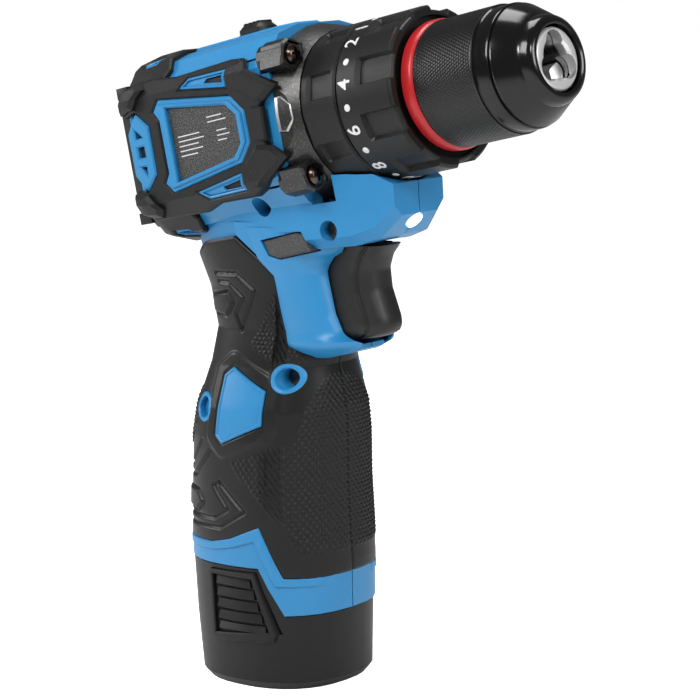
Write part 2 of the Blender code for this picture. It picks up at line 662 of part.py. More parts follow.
def build_rings():
    """The mode ring and the torque ring, which turn on the gear case, and the clutch spring between."""
    rear, front = MODE_RING_SPAN
    mode = lathe("mode_ring", "black_plastic",
                 ((front, 22.4), (front - 0.5, MODE_RING_R), (rear + 0.5, MODE_RING_R), (rear, 22.4)),
                 ((rear, 19.3), (front, 19.3)), head, 36)
    notch_ring(mode, (rear + 2.2, front - 2.0), MODE_RING_R - 0.9, (16.0, 106.0, 196.0, 286.0), 7.5)
    rear, front = TORQUE_RING_SPAN
    torque = lathe("torque_ring", "black_plastic",
                   ((front, 21.6), (front - 0.8, 22.2), (rear + 0.4, TORQUE_RING_R), (rear, 22.2)),
                   ((rear, 19.3), (-4.6, 19.3), (-4.6, 14.4), (-3.2, 14.4), (-3.2, 19.8), (front, 19.8)),
                   head, 36)
    notch_ring(torque, (-13.0, front - 0.6), TORQUE_RING_R - 0.9, [40.0 * i for i in range(9)], 9.0)
    coil("clutch_spring", 16.6, 0.9, -18.6, -6.4, 3)


def notch_ring(ring, span, floor, middles, half_angle):
    """Sink finger grips into a ring down to the floor radius."""
    for i, middle in enumerate(middles):
        a = math.radians(middle - half_angle)
        b = math.radians(middle + half_angle)
        rim = floor * 1.2
        corners = [ring_point(floor, a), ring_point(rim, a), ring_point(rim, b), ring_point(floor, b)]
        name = f"{ring.name}_grip_{i}"
        cut(ring, place(name, prism_mesh(name, corners, *span, "YZ"), parent=head))


def coil(name, radius, wire, low, high, turns):
    """A compression spring on the head's axis."""
    curve = bpy.data.curves.new(name, "CURVE")
    curve.dimensions = "3D"
    curve.bevel_depth = wire * MM
    curve.bevel_resolution = 1
    curve.use_fill_caps = True
    count = turns * COIL_STEPS + 1
    path = curve.splines.new("POLY")
    path.points.add(count - 1)
    for i in range(count):
        y, z = ring_point(radius, math.tau * i / COIL_STEPS)
        x = low + wire + (high - low - 2 * wire) * i / (count - 1)
        path.points[i].co = (x * MM, y * MM, z * MM, 1.0)
    spring = bpy.data.objects.new(name, curve)
    parts.objects.link(spring)
    spring.parent = head
    curve.materials.append(material("steel"))
    return spring


# ------------------------------------------------------------------ chuck


def build_chuck():
    """Keyless chuck: steel body with three leaning jaws, thread ring and outer sleeve."""
    body = lathe("chuck_body", "steel",
                 ((35.6, 8.6), (31.0, 12.6), (25.5, 14.0), (19.3, 14.0), (19.3, 12.4), (12.7, 12.4),
                  (12.7, CHUCK_BODY_R), (-2.4, CHUCK_BODY_R)),
                 ((-2.4, 5.3), (9.6, 5.3), (9.6, 2.4), (11.2, 2.4), (11.2, BIT_BORE), (35.6, BIT_BORE)),
                 head, 24)
    nose = lathe("nose_ring", "steel", ((CHUCK_NOSE, 8.1), (38.7, 8.6), (35.9, 8.6)),
                 ((35.9, BIT_BORE), (38.4, BIT_BORE), (CHUCK_NOSE, 5.9)), head, 28)
    lathe("chuck_screw", "screw_steel", ((14.4, 3.4), (13.8, 4.2), (11.6, 4.2), (11.6, 2.1), (-5.0, 2.1)),
          parent=head, steps=16)
    lathe("chuck_nut", "steel", ((18.9, 15.8), (13.1, 15.8)), ((13.1, 14.35), (18.9, 14.35)), head, 24)
    lathe("red_collar", "red_anodised", ((4.0, 18.5), (3.4, 18.9), (0.4, 18.9), (0.0, 18.5)),
          ((0.0, CHUCK_BODY_R + GAP), (4.0, CHUCK_BODY_R + GAP)), head, 32)
    lathe("chuck_sleeve", "black_metal",
          ((40.4, 9.9), (40.0, 10.7), (36.8, 13.4), (31.0, 17.5), (30.4, 16.9), (30.0, 17.9), (25.6, 18.0),
           (25.2, SLEEVE_R), (4.3, SLEEVE_R)),
          ((4.3, 16.2), (25.5, 16.2), (30.0, 14.9), (36.0, 9.2), (40.4, 9.2)), head, 32)
    slope = math.tan(JAW_LEAN)
    opening = REST_OPENING / 2.0
    apex = opening - CLOSED_OPENING / 2.0 + 0.2
    for i in range(3):
        angle = math.tau * i / 3 + math.pi / 2
        shift = Matrix.Translation((0, (JAW_AXIS_R + CHUCK_NOSE * slope) * MM, 0))
        lean = Matrix.Rotation(angle, 4, "X") @ shift @ Matrix.Rotation(-JAW_LEAN, 4, "Z")
        length = [x / math.cos(JAW_LEAN) for x in JAW_SPAN]
        jaw_mesh = rod_mesh(f"jaw_{i + 1}", JAW_R, *length, steps=20)
        jaw_mesh.transform(lean)
        jaw = place(f"jaw_{i + 1}", jaw_mesh, "steel", parent=head)
        far = 20.0
        wedge = ((opening, (opening - apex) * math.sqrt(3)), (far, (far - apex) * math.sqrt(3)),
                 (far, -(far - apex) * math.sqrt(3)), (opening, -(opening - apex) * math.sqrt(3)))
        grip = prism_mesh(f"jaw_grip_{i}", wedge, 0.0, 60.0, "YZ")
        keep(jaw, place(grip.name, grip, parent=head, turn=(angle, 0, 0)))
        slot_mesh = rod_mesh(f"jaw_slot_{i}", JAW_R + 0.35, 11.0, 60.0, steps=20)
        slot_mesh.transform(lean)
        slot = place(slot_mesh.name, slot_mesh, parent=head)
        cut(body, slot)
        cut(nose, slot)


# ------------------------------------------------------------------ controls


def bevelled(thing, width, segments=2):
    bevel = thing.modifiers.new("soft_edges", "BEVEL")
    bevel.width = width * MM
    bevel.segments = segments
    bevel.limit_method = "ANGLE"
    bevel.angle_limit = math.radians(40)
    return thing


def build_controls():
    """Trigger with its switch and spring, direction bar, speed slide and work light."""
    half = TRIGGER_HALF_WIDTH
    bevelled(place("trigger", prism_mesh("trigger", TRIGGER_OUTLINE, -half, half), "black_plastic"), 1.6)
    place("switch_body", box_mesh("switch_body", (-7.0, -8.6, 103.0), (13.8, 8.6, 125.4)), "black_plastic")
    spring = coil("trigger_spring", 2.6, 0.5, 14.2, 24.6, 4)
    spring.parent = None
    spring.location = Vector((0.0, 0.0, 116.0)) * MM
    bar_mesh = prism_mesh("direction_selector", SELECTOR_OUTLINE, -19.0, 19.0)
    bar = place("direction_selector", bar_mesh, "black_plastic")
    cut(bar, place("bar_relief_1", box_mesh("bar_relief_1", (10, -9, 131.6), (40, 9, 140))))
    knob = place("speed_selector", box_mesh("speed_selector", (-74.0, -7.2, 26.6), (-61.0, 7.2, 31.4)),
                 "black_plastic", head)
    neck = box_mesh("speed_neck", (-71.6, -4.2, 22.4), (-65.0, 4.2, 28.0))
    join(knob, place("speed_neck", neck, parent=head))
    lens = rod_mesh("work_light", 2.6, -2.0, 5.0, steps=20)
    place("work_light", lens, "lens", at=LIGHT_PLACE, turn=LIGHT_TURN)
    place("control_board", box_mesh("control_board", (-6.0, -11.0, 128.6), (10.0, 11.0, 130.2)), "board")


def build_shell_screws():
    """Case screws, heads sunk in the right shell."""
    for i, (x, z, depth) in enumerate(SHELL_SCREWS):
        name = f"shell_screw_{i + 1}"
        screw = place(name, rod_mesh(name, 2.5, -depth - 2.0, -depth, "Y", 16), "screw_steel", at=(x, 0, z))
        shank = rod_mesh(f"{name}_shank", 1.3, -depth - 0.5, 5.0, "Y", 12)
        join(screw, place(shank.name, shank, at=(x, 0, z)))


# ------------------------------------------------------------------ battery


def build_battery():
    """Battery pack: foot and stem in one case, cap with the terminal tower, three cells, two latches."""
    foot_rings = [[(c + x, y, z) for x, y in superellipse(a, b, HANDLE_POWER, 32)] for z, c, a, b in FOOT]
    case = place("battery_case", loft_mesh("battery_case", foot_rings), "black_plastic")
    keep(case, place("foot_top", prism_mesh("foot_top", battery_joint(-0.4), -40, 40)))
    a, b = STEM_HALF
    stem_outline = [(STEM_X + x, y) for x, y in superellipse(a, b, STEM_POWER, 28)]
    join(case, place("stem", prism_mesh("stem", stem_outline, 10.0, STEM_TOP, "XY")))
    hollow_outline = [(STEM_X + x, y) for x, y in superellipse(a - STEM_WALL, b - STEM_WALL, STEM_POWER, 28)]
    hollow = prism_mesh("stem_hollow", hollow_outline, 3.0, STEM_TOP + 2.0, "XY")
    cut(case, place("stem_hollow", hollow))
    cap_outline = [(STEM_X + 0.6 + x, y) for x, y in superellipse(a - 1.2, b - 1.0, STEM_POWER, 28)]
    cap_mesh = prism_mesh("battery_cap", cap_outline, STEM_TOP + GAP, STEM_TOP + 2.3, "XY")
    cap = place("battery_cap", cap_mesh, "black_plastic")
    join(cap, place("tower", box_mesh("tower", (-6.0, -6.0, STEM_TOP + 1.0), (14.0, 6.0, STEM_TOP + 13.0))))
    for i, (x, y) in enumerate(CELL_PLACES):
        name = f"battery_cell_{i + 1}"
        place(name, rod_mesh(name, CELL_R, *CELL_SPAN, "Z", 24), "cell_wrap", at=(STEM_X + x, y, 0))
    for name, side in (("battery_latch_right", -1), ("battery_latch_left", 1)):
        low, high = sorted(face * side for face in LATCH_SPAN)
        pocket_low, pocket_high = sorted((LATCH_POCKET * side, 30.0 * side))
        pocket = prism_mesh(f"{name}_pocket", grown(LATCH_OUTLINE, 0.5), pocket_low, pocket_high)
        cut(case, place(pocket.name, pocket))
        place(name, prism_mesh(name, LATCH_OUTLINE, low, high), "black_plastic")
    contact = box_mesh("contact_block", (-9.0, -9.0, STEM_TOP + 13.6), (15.0, 9.0, STEM_TOP + 19.0))
    place("contact_block", contact, "copper")


def main():
    global parts, cutters, head
    clear_scene()
    parts = new_collection("cordless_drill")
    cutters = new_collection("cutters")
    head = bpy.data.objects.new("head", None)
    parts.objects.link(head)
    head.location = Vector(HEAD_ORIGIN) * MM
    head.rotation_euler = (0.0, -BARREL_TILT, 0.0)
    forms = build_forms()
    build_housing(forms)
    build_grip(forms)
    build_guards(forms)
    build_bumper()
    build_gear_case()
    build_gears()
    build_spindle()
    build_motor()
    build_rings()
    build_chuck()
    build_controls()
    build_shell_screws()
    build_battery()


main()
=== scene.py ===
"""Looks of a cordless drill driver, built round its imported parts.

Lengths in the classes are millimetres. Two frames are used: the standing frame of the whole tool, +X towards
the chuck and +Z up, and the head frame, whose X axis is the spindle's axis with x = 0 at the chuck's rear.
Each sub-assembly is a class that makes its own pieces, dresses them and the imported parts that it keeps, and
hands them to the body that they move with.
"""

from __future__ import annotations

import json
import logging
import math
from collections.abc import Callable, Sequence
from dataclasses import dataclass, field
from enum import Enum

import bmesh
import bpy
import numpy as np
from mathutils import Matrix, Vector


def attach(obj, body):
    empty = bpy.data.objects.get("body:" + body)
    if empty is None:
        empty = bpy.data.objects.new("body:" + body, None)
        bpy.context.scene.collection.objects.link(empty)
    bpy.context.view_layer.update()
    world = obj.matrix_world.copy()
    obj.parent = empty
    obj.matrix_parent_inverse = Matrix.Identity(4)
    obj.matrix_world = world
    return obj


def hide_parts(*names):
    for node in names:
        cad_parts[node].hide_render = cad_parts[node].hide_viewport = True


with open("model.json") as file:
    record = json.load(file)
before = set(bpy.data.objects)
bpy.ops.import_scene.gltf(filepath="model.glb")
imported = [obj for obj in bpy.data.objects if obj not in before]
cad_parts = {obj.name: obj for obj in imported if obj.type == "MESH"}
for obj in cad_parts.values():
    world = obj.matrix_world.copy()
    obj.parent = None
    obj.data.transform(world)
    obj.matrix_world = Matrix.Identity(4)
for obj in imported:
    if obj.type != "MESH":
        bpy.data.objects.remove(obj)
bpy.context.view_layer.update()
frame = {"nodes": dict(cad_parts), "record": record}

log = logging.getLogger("drill")

MM = 0.001
Point = tuple[float, float]
Outline = Sequence[Point]
Mapping = Callable[[float, float, float], Vector]
Ring = Sequence[bmesh.types.BMVert]


class Side(Enum):
    """The two sides of the tool, by the sign of Y."""

    RIGHT = -1
    LEFT = 1

    @property
    def word(self) -> str:
        """The side's name in piece names."""
        return self.name.lower()


# ---------------------------------------------------------------- frames and outlines


@dataclass(frozen=True)
class Head:
    """The head frame: the spindle's axis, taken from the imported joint."""

    origin: Vector
    axis: Vector

    def world(self, x: float, y: float, z: float) -> Vector:
        """A head-frame point in millimetres as a world point in metres."""
        up = Vector((-self.axis.z, 0.0, self.axis.x))
        return self.origin + (self.axis * x + Vector((0.0, y, 0.0)) + up * z) * MM

    def round(self, x: float, radius: float, angle: float) -> Vector:
        """A point at a radius round the axis: angle 0 is +Y and a quarter turn is up."""
        return self.world(x, radius * math.cos(angle), radius * math.sin(angle))


def spindle_head() -> Head:
    """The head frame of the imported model.

    Returns:
        The frame whose axis is the joint named spindle_spin.
    """
    joint = next(j for j in frame["record"]["behaviour"]["joints"] if j["name"] == "spindle_spin")
    return Head(Vector(joint["pos_m"]), Vector(joint["axis"]).normalized())


HEAD = spindle_head()


def standing(x: float, y: float, z: float) -> Vector:
    """A standing-frame point in millimetres as a world point in metres."""
    return Vector((x, y, z)) * MM


def signed_area(outline: Outline) -> float:
    """Twice the signed area of an outline, positive when it runs anticlockwise."""
    return sum(a[0] * b[1] - b[0] * a[1] for a, b in zip(outline, [*outline[1:], outline[0]]))


def wound(outline: Outline, anticlockwise: bool = True) -> list[Point]:
    """The outline run in the asked direction."""
    points = list(outline)
    return points if (signed_area(points) > 0) == anticlockwise else points[::-1]


def shifted(outline: Outline, amount: float) -> list[Point]:
    """Each side of an outline moved to its left, with mitred corners.

    Args:
        outline: Closed outline; to its left is inward when it runs anticlockwise.
        amount: Distance to move.

    Returns:
        The moved outline, with as many points.
    """
    count = len(outline)
    moved = []
    for i in range(count):
        before, here, after = (Vector(outline[k % count]) for k in (i - 1, i, i + 1))
        first = (here - before).normalized()
        second = (after - here).normalized()
        left = Vector((-first.y, first.x)) + Vector((-second.y, second.x))
        reach = amount / max(0.35, left.length_squared / 2.0)
        moved.append((here.x + left.x * reach, here.y + left.y * reach))
    return moved


def inset(outline: Outline, amount: float) -> list[Point]:
    """The outline made smaller all round, or larger for a negative amount."""
    return shifted(wound(outline), amount)


def mirrored(half: Outline) -> list[Point]:
    """A whole outline from its upper half, mirrored in the line v = 0."""
    return list(half) + [(u, -v) for u, v in reversed(half)]


def flipped(outline: Outline) -> list[Point]:
    """The outline mirrored in the line v = 0."""
    return [(u, -v) for u, v in outline]


def circle(u: float, v: float, radius: float, steps: int = 32) -> list[Point]:
    """A round outline of so many points."""
    turns = [math.tau * i / steps for i in range(steps)]
    return [(u + radius * math.cos(turn), v + radius * math.sin(turn)) for turn in turns]


# ---------------------------------------------------------------- shader groups and finishes


def socket(group: bpy.types.NodeTree, name: str, kind: str, way: str, value: object = None) -> None:
    """Add a named socket to a shader group.

    Args:
        group: The group.
        name: The socket's name.
        kind: Float, Color or Vector.
        way: INPUT or OUTPUT.
        value: Default of an input.
    """
    made = group.interface.new_socket(name=name, in_out=way, socket_type=f"NodeSocket{kind}")
    if value is not None:
        made.default_value = value


def math_node(tree: bpy.types.NodeTree, operation: str, *values: object) -> bpy.types.NodeSocket:
    """A Math node whose inputs are numbers or other nodes' outputs.

    Args:
        tree: Nodes to add it to.
        operation: What it works out.
        values: Its inputs in order.

    Returns:
        The node's output socket.
    """
    node = tree.nodes.new("ShaderNodeMath")
    node.operation = operation
    for i, value in enumerate(values):
        if isinstance(value, bpy.types.NodeSocket):
            tree.links.new(value, node.inputs[i])
        else:
            node.inputs[i].default_value = value
    return node.outputs[0]


def moulded_surface_group() -> bpy.types.NodeTree:
    """The grain and slight unevenness that all moulded and cast surfaces share, built once.

    Returns:
        A group with Colour, Grain Scale, Mottle, Roughness and Dust in; Colour, Roughness and Height out.
    """
    name = "moulded_surface"
    cloud_scale, speck_level, dust_grey, gloss_swing = 95.0, 0.62, 0.42, 0.6
    if name in bpy.data.node_groups:
        return bpy.data.node_groups[name]
    group = bpy.data.node_groups.new(name, "ShaderNodeTree")
    socket(group, "Colour", "Color", "INPUT", (0.5, 0.5, 0.5, 1.0))
    socket(group, "Grain Scale", "Float", "INPUT", 1800.0)
    socket(group, "Mottle", "Float", "INPUT", 0.1)
    socket(group, "Roughness", "Float", "INPUT", 0.5)
    socket(group, "Dust", "Float", "INPUT", 0.05)
    socket(group, "Colour", "Color", "OUTPUT")
    socket(group, "Roughness", "Float", "OUTPUT")
    socket(group, "Height", "Float", "OUTPUT")
    nodes, links = group.nodes, group.links
    given = nodes.new("NodeGroupInput")
    out = nodes.new("NodeGroupOutput")
    where = nodes.new("ShaderNodeTexCoord")
    grain = nodes.new("ShaderNodeTexNoise")
    grain.inputs["Detail"].default_value = 3.0
    grain.inputs["Roughness"].default_value = 0.6
    links.new(where.outputs["Object"], grain.inputs["Vector"])
    links.new(given.outputs["Grain Scale"], grain.inputs["Scale"])
    cloud = nodes.new("ShaderNodeTexNoise")
    cloud.inputs["Scale"].default_value = cloud_scale
    cloud.inputs["Detail"].default_value = 4.0
    links.new(where.outputs["Object"], cloud.inputs["Vector"])
    swing = math_node(group, "SUBTRACT", cloud.outputs["Fac"], 0.5)
    swing = math_node(group, "MULTIPLY", swing, given.outputs["Mottle"])
    bright = math_node(group, "ADD", swing, 1.0)
    tint = nodes.new("ShaderNodeVectorMath")
    tint.operation = "SCALE"
    links.new(given.outputs["Colour"], tint.inputs[0])
    links.new(bright, tint.inputs["Scale"])
    facing = nodes.new("ShaderNodeNewGeometry")
    level = nodes.new("ShaderNodeSeparateXYZ")
    links.new(facing.outputs["Normal"], level.inputs[0])
    upward = math_node(group, "MAXIMUM", level.outputs["Z"], 0.0)
    specks = math_node(group, "GREATER_THAN", grain.outputs["Fac"], speck_level)
    settled = math_node(group, "MULTIPLY", upward, specks)
    dust = math_node(group, "MULTIPLY", settled, given.outputs["Dust"])
    mix = nodes.new("ShaderNodeMix")
    mix.data_type = "RGBA"
    mix.inputs["B"].default_value = (dust_grey, dust_grey, dust_grey, 1.0)
    links.new(dust, mix.inputs["Factor"])
    links.new(tint.outputs[0], mix.inputs["A"])
    links.new(mix.outputs["Result"], out.inputs["Colour"])
    rough = math_node(group, "MULTIPLY_ADD", swing, gloss_swing, given.outputs["Roughness"])
    links.new(rough, out.inputs["Roughness"])
    links.new(grain.outputs["Fac"], out.inputs["Height"])
    return group


@dataclass(frozen=True)
class Finish:
    """One surface finish: a colour with grain, unevenness and gloss. grain_depth is in millimetres."""

    name: str
    colour: tuple[float, float, float]
    roughness: float = 0.5
    metallic: float = 0.0
    grain_scale: float = 1800.0
    grain_depth: float = 0.05
    mottle: float = 0.12
    dust: float = 0.0
    specular: float = 0.5
    coat: float = 0.0
    glow: float = 0.0

    def material(self) -> bpy.types.Material:
        """The finish as a material, built once.

        Returns:
            A material whose colour, roughness and normal come from the moulded_surface group.
        """
        if self.name in bpy.data.materials:
            return bpy.data.materials[self.name]
        made = bpy.data.materials.new(self.name)
        made.use_nodes = True
        tree = made.node_tree
        shader = tree.nodes["Principled BSDF"]
        shader.inputs["Metallic"].default_value = self.metallic
        shader.inputs["Specular IOR Level"].default_value = self.specular
        shader.inputs["Coat Weight"].default_value = self.coat
        shader.inputs["Coat Roughness"].default_value = 0.12
        surface = tree.nodes.new("ShaderNodeGroup")
        surface.node_tree = moulded_surface_group()
        surface.inputs["Colour"].default_value = (*self.colour, 1.0)
        surface.inputs["Grain Scale"].default_value = self.grain_scale
        surface.inputs["Mottle"].default_value = self.mottle
        surface.inputs["Roughness"].default_value = self.roughness
        surface.inputs["Dust"].default_value = self.dust
        bump = tree.nodes.new("ShaderNodeBump")
        bump.inputs["Distance"].default_value = self.grain_depth * MM
        bump.inputs["Strength"].default_value = 1.0
        tree.links.new(surface.outputs["Height"], bump.inputs["Height"])
        tree.links.new(bump.outputs["Normal"], shader.inputs["Normal"])
        tree.links.new(self.pattern(tree, surface.outputs["Colour"]), shader.inputs["Base Color"])
        tree.links.new(surface.outputs["Roughness"], shader.inputs["Roughness"])
        if self.glow:
            shader.inputs["Emission Color"].default_value = (*self.colour, 1.0)
            shader.inputs["Emission Strength"].default_value = self.glow
        return made

    def pattern(self, tree: bpy.types.NodeTree, colour: bpy.types.NodeSocket) -> bpy.types.NodeSocket:
        """A finish's own pattern over the shared surface; plain here."""
        return colour


@dataclass(frozen=True)
class SpeckledFinish(Finish):
    """A printed or blasted surface with pale flecks."""

    fleck: tuple[float, float, float] = (0.4, 0.4, 0.4)
    fleck_scale: float = 2200.0
    fleck_level: float = 0.6
    fleck_edge: float = 0.06

    def pattern(self, tree: bpy.types.NodeTree, colour: bpy.types.NodeSocket) -> bpy.types.NodeSocket:
        """Flecks where a fine noise is high.

        Args:
            tree: The material's nodes.
            colour: The surface's colour.

        Returns:
            The colour with the flecks in it.
        """
        where = tree.nodes.new("ShaderNodeTexCoord")
        noise = tree.nodes.new("ShaderNodeTexNoise")
        noise.inputs["Scale"].default_value = self.fleck_scale
        noise.inputs["Detail"].default_value = 1.0
        tree.links.new(where.outputs["Object"], noise.inputs["Vector"])
        spread = tree.nodes.new("ShaderNodeMapRange")
        spread.inputs["From Min"].default_value = self.fleck_level - self.fleck_edge
        spread.inputs["From Max"].default_value = self.fleck_level + self.fleck_edge
        tree.links.new(noise.outputs["Fac"], spread.inputs["Value"])
        mix = tree.nodes.new("ShaderNodeMix")
        mix.data_type = "RGBA"
        mix.inputs["B"].default_value = (*self.fleck, 1.0)
        tree.links.new(spread.outputs["Result"], mix.inputs["Factor"])
        tree.links.new(colour, mix.inputs["A"])
        return mix.outputs["Result"]


BLUE = Finish("blue_shell_plastic", (0.016, 0.200, 0.440), 0.40, grain_scale=1500.0, grain_depth=0.03,
              mottle=0.05)
RUBBER = Finish("black_soft_rubber", (0.008, 0.008, 0.008), 0.38, grain_scale=2600.0, grain_depth=0.03,
                dust=0.02, specular=0.26)
ARMOUR = Finish("black_armour", (0.009, 0.009, 0.009), 0.46, grain_scale=2000.0, grain_depth=0.04,
                dust=0.02, specular=0.26)
PLASTIC = Finish("black_hard_plastic", (0.008, 0.008, 0.008), 0.42, grain_scale=1700.0, grain_depth=0.04,
                 specular=0.28)
TRIGGER_GREY = Finish("charcoal_trigger_plastic", (0.012, 0.012, 0.012), 0.42, grain_scale=2200.0,
                      grain_depth=0.04, specular=0.35)
FOOT_BLACK = Finish("battery_plastic", (0.008, 0.008, 0.008), 0.40, grain_scale=1500.0, grain_depth=0.03,
                    specular=0.28)
CAST = SpeckledFinish("cast_gear_case", (0.050, 0.049, 0.048), 0.36, 0.8, grain_scale=900.0, grain_depth=0.06,
                      mottle=0.25, fleck=(0.09, 0.09, 0.09), fleck_scale=1700.0, fleck_level=0.64)
FACET = Finish("machined_facet", (0.50, 0.50, 0.50), 0.32, 0.9, grain_scale=1400.0, grain_depth=0.05,
               mottle=0.2)
CHROME = Finish("black_chrome", (0.004, 0.004, 0.004), 0.15, 0.0, grain_scale=900.0, grain_depth=0.003,
                mottle=0.06, specular=0.4)
KNURL = Finish("black_knurled_metal", (0.006, 0.006, 0.006), 0.32, grain_scale=1800.0, grain_depth=0.02,
               specular=0.35)
STEEL = Finish("bright_steel", (0.42, 0.42, 0.43), 0.26, 1.0, grain_scale=2500.0, grain_depth=0.02,
               mottle=0.15)
NOSE_STEEL = Finish("brushed_nose_steel", (0.80, 0.80, 0.80), 0.42, 0.75, grain_scale=2500.0,
                    grain_depth=0.02, mottle=0.15)
GEAR_STEEL = Finish("gear_steel", (0.45, 0.45, 0.46), 0.36, 1.0, grain_scale=1600.0, grain_depth=0.04,
                    mottle=0.2)
SCREW = Finish("browned_screw_steel", (0.10, 0.075, 0.06), 0.22, 1.0, grain_scale=1400.0, grain_depth=0.02)
RED = Finish("red_anodised_collar", (0.42, 0.012, 0.016), 0.34, 0.1, grain_scale=1500.0, grain_depth=0.01)
LABEL = SpeckledFinish("speckled_rating_plate", (0.014, 0.014, 0.014), 0.62, fleck=(0.11, 0.11, 0.11),
                       fleck_scale=2600.0, fleck_level=0.58)
BUTTON = SpeckledFinish("blasted_button", (0.030, 0.030, 0.030), 0.60, grain_scale=2400.0, grain_depth=0.16,
                        fleck=(0.075, 0.075, 0.075), fleck_scale=2400.0)
PRINT = Finish("white_print", (0.62, 0.62, 0.62), 0.5, grain_depth=0.005, mottle=0.05)
COPPER = Finish("enamelled_copper", (0.60, 0.23, 0.09), 0.35, 1.0, grain_depth=0.04)
BOARD = Finish("green_board", (0.01, 0.12, 0.045), 0.45, grain_depth=0.02)
WRAP = Finish("cell_wrap", (0.05, 0.33, 0.29), 0.38, grain_depth=0.01)
LENS = Finish("light_lens", (0.80, 0.88, 1.0), 0.12, grain_depth=0.003, mottle=0.03, coat=0.6, glow=2.5)
# Near-black matt finish put at the bottoms of vents, screw wells and the latches' sunk floors: painted shade
# standing in for the shadow in these recesses.
PAINTED_SHADE = Finish("painted_recess_shade", (0.006, 0.006, 0.007), 0.7, grain_depth=0.02)


# ---------------------------------------------------------------- making pieces


def shaded(mesh: bpy.types.Mesh, angle: float = 32.0) -> bpy.types.Mesh:
    """Smooth shading that stops at sharp edges.

    Args:
        mesh: Mesh to shade.
        angle: Edges sharper than this stay sharp, in degrees.

    Returns:
        The same mesh.
    """
    mesh.shade_smooth()
    mesh.set_sharp_from_angle(angle=math.radians(angle))
    return mesh


def piece(name: str, mesh: bpy.types.Mesh, finish: Finish, body: str,
          stands_for: Sequence[str] = (), angle: float = 32.0) -> bpy.types.Object:
    """Put a mesh in the scene as a piece of the tool.

    Args:
        name: Piece name.
        mesh: Mesh in world metres.
        finish: Surface finish.
        body: Body that it moves with.
        stands_for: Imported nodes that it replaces.
        angle: Edges sharper than this stay sharp, in degrees.

    Returns:
        The new object.
    """
    made = bpy.data.objects.new(name, shaded(mesh, angle))
    bpy.context.scene.collection.objects.link(made)
    mesh.materials.clear()
    mesh.materials.append(finish.material())
    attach(made, body)
    if stands_for:
        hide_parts(*stands_for)
    log.info("%s: %d faces, rides %s", name, len(mesh.polygons), body)
    return made


def dress(node: str, finish: Finish, angle: float = 32.0, bevel: float = 0.0) -> None:
    """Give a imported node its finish, smooth shading and, if asked, softened edges.

    Args:
        node: Node name.
        finish: Surface finish.
        angle: Edges sharper than this stay sharp, in degrees.
        bevel: Width of the softened edges in millimetres.
    """
    kept = frame["nodes"][node]
    for place in kept.material_slots:
        place.material = finish.material()
    kept.data.shade_smooth()
    kept.modifiers.new("joined", "WELD").merge_threshold = 0.002 * MM
    if bevel:
        soft = kept.modifiers.new("soft_edges", "BEVEL")
        soft.width = bevel * MM
        soft.segments = 2
        soft.limit_method = "ANGLE"
        soft.angle_limit = math.radians(angle)
    split = kept.modifiers.new("creases", "EDGE_SPLIT")
    split.split_angle = math.radians(angle)


def closed(name: str, bm: bmesh.types.BMesh) -> bpy.types.Mesh:
    """A mesh from a bmesh, with its normals turned outward.

    Args:
        name: Mesh name.
        bm: The bmesh, which is used up.

    Returns:
        The mesh.
    """
    bmesh.ops.recalc_face_normals(bm, faces=bm.faces)
    mesh = bpy.data.meshes.new(name)
    bm.to_mesh(mesh)
    bm.free()
    return mesh


def bridge(bm: bmesh.types.BMesh, low: Ring, high: Ring) -> None:
    """Join two closed rings with a band of four-sided faces.

    Args:
        bm: The bmesh that holds the rings.
        low: One ring.
        high: The other, with as many corners.
    """
    for i in range(len(low)):
        j = (i + 1) % len(low)
        bm.faces.new((low[i], low[j], high[j], high[i]))


def capped(name: str, bm: bmesh.types.BMesh, rings: Sequence[Ring]) -> bpy.types.Mesh:
    """A closed mesh from a run of rings, with a flat face on the first and the last.

    Args:
        name: Mesh name.
        bm: The bmesh that holds the rings, which is used up.
        rings: Rings of as many corners, in order.

    Returns:
        The mesh.
    """
    for low, high in zip(rings, rings[1:]):
        bridge(bm, low, high)
    bm.faces.new(rings[0])
    bm.faces.new(rings[-1])
    return closed(name, bm)


def grid_mesh(name: str, points: np.ndarray, wrap_rows: bool = False,
              wrap_columns: bool = False) -> bpy.types.Mesh:
    """A skin over a grid of points.

    Args:
        name: Mesh name.
        points: Array of rows by columns by 3, in metres.
        wrap_rows: The last row joins the first.
        wrap_columns: The last column joins the first.

    Returns:
        The mesh.
    """
    rows, columns = points.shape[:2]
    index = np.arange(rows * columns).reshape(rows, columns)
    if wrap_rows:
        index = np.vstack([index, index[:1]])
    if wrap_columns:
        index = np.hstack([index, index[:, :1]])
    corners = (index[:-1, :-1], index[:-1, 1:], index[1:, 1:], index[1:, :-1])
    quads = np.stack(corners, axis=-1).reshape(-1, 4)
    mesh = bpy.data.meshes.new(name)
    mesh.from_pydata(points.reshape(-1, 3).tolist(), [], quads.tolist())
    return mesh


def grid_bmesh(points: Sequence, wrap_rows: bool = False, capped_ends: bool = False) -> bmesh.types.BMesh:
    """A bmesh over a grid of points whose last column joins the first.

    Args:
        points: Rows of columns of places, in metres.
        wrap_rows: The last row joins the first.
        capped_ends: The first and last rows each get a flat face.

    Returns:
        The bmesh.
    """
    bm = bmesh.new()
    bm.from_mesh(grid_mesh("grid", np.array(points), wrap_rows=wrap_rows, wrap_columns=True))
    if capped_ends:
        bm.verts.ensure_lookup_table()
        count = len(points[0])
        bm.faces.new([bm.verts[i] for i in range(count)])
        bm.faces.new([bm.verts[len(bm.verts) - count + i] for i in range(count)])
    return bm


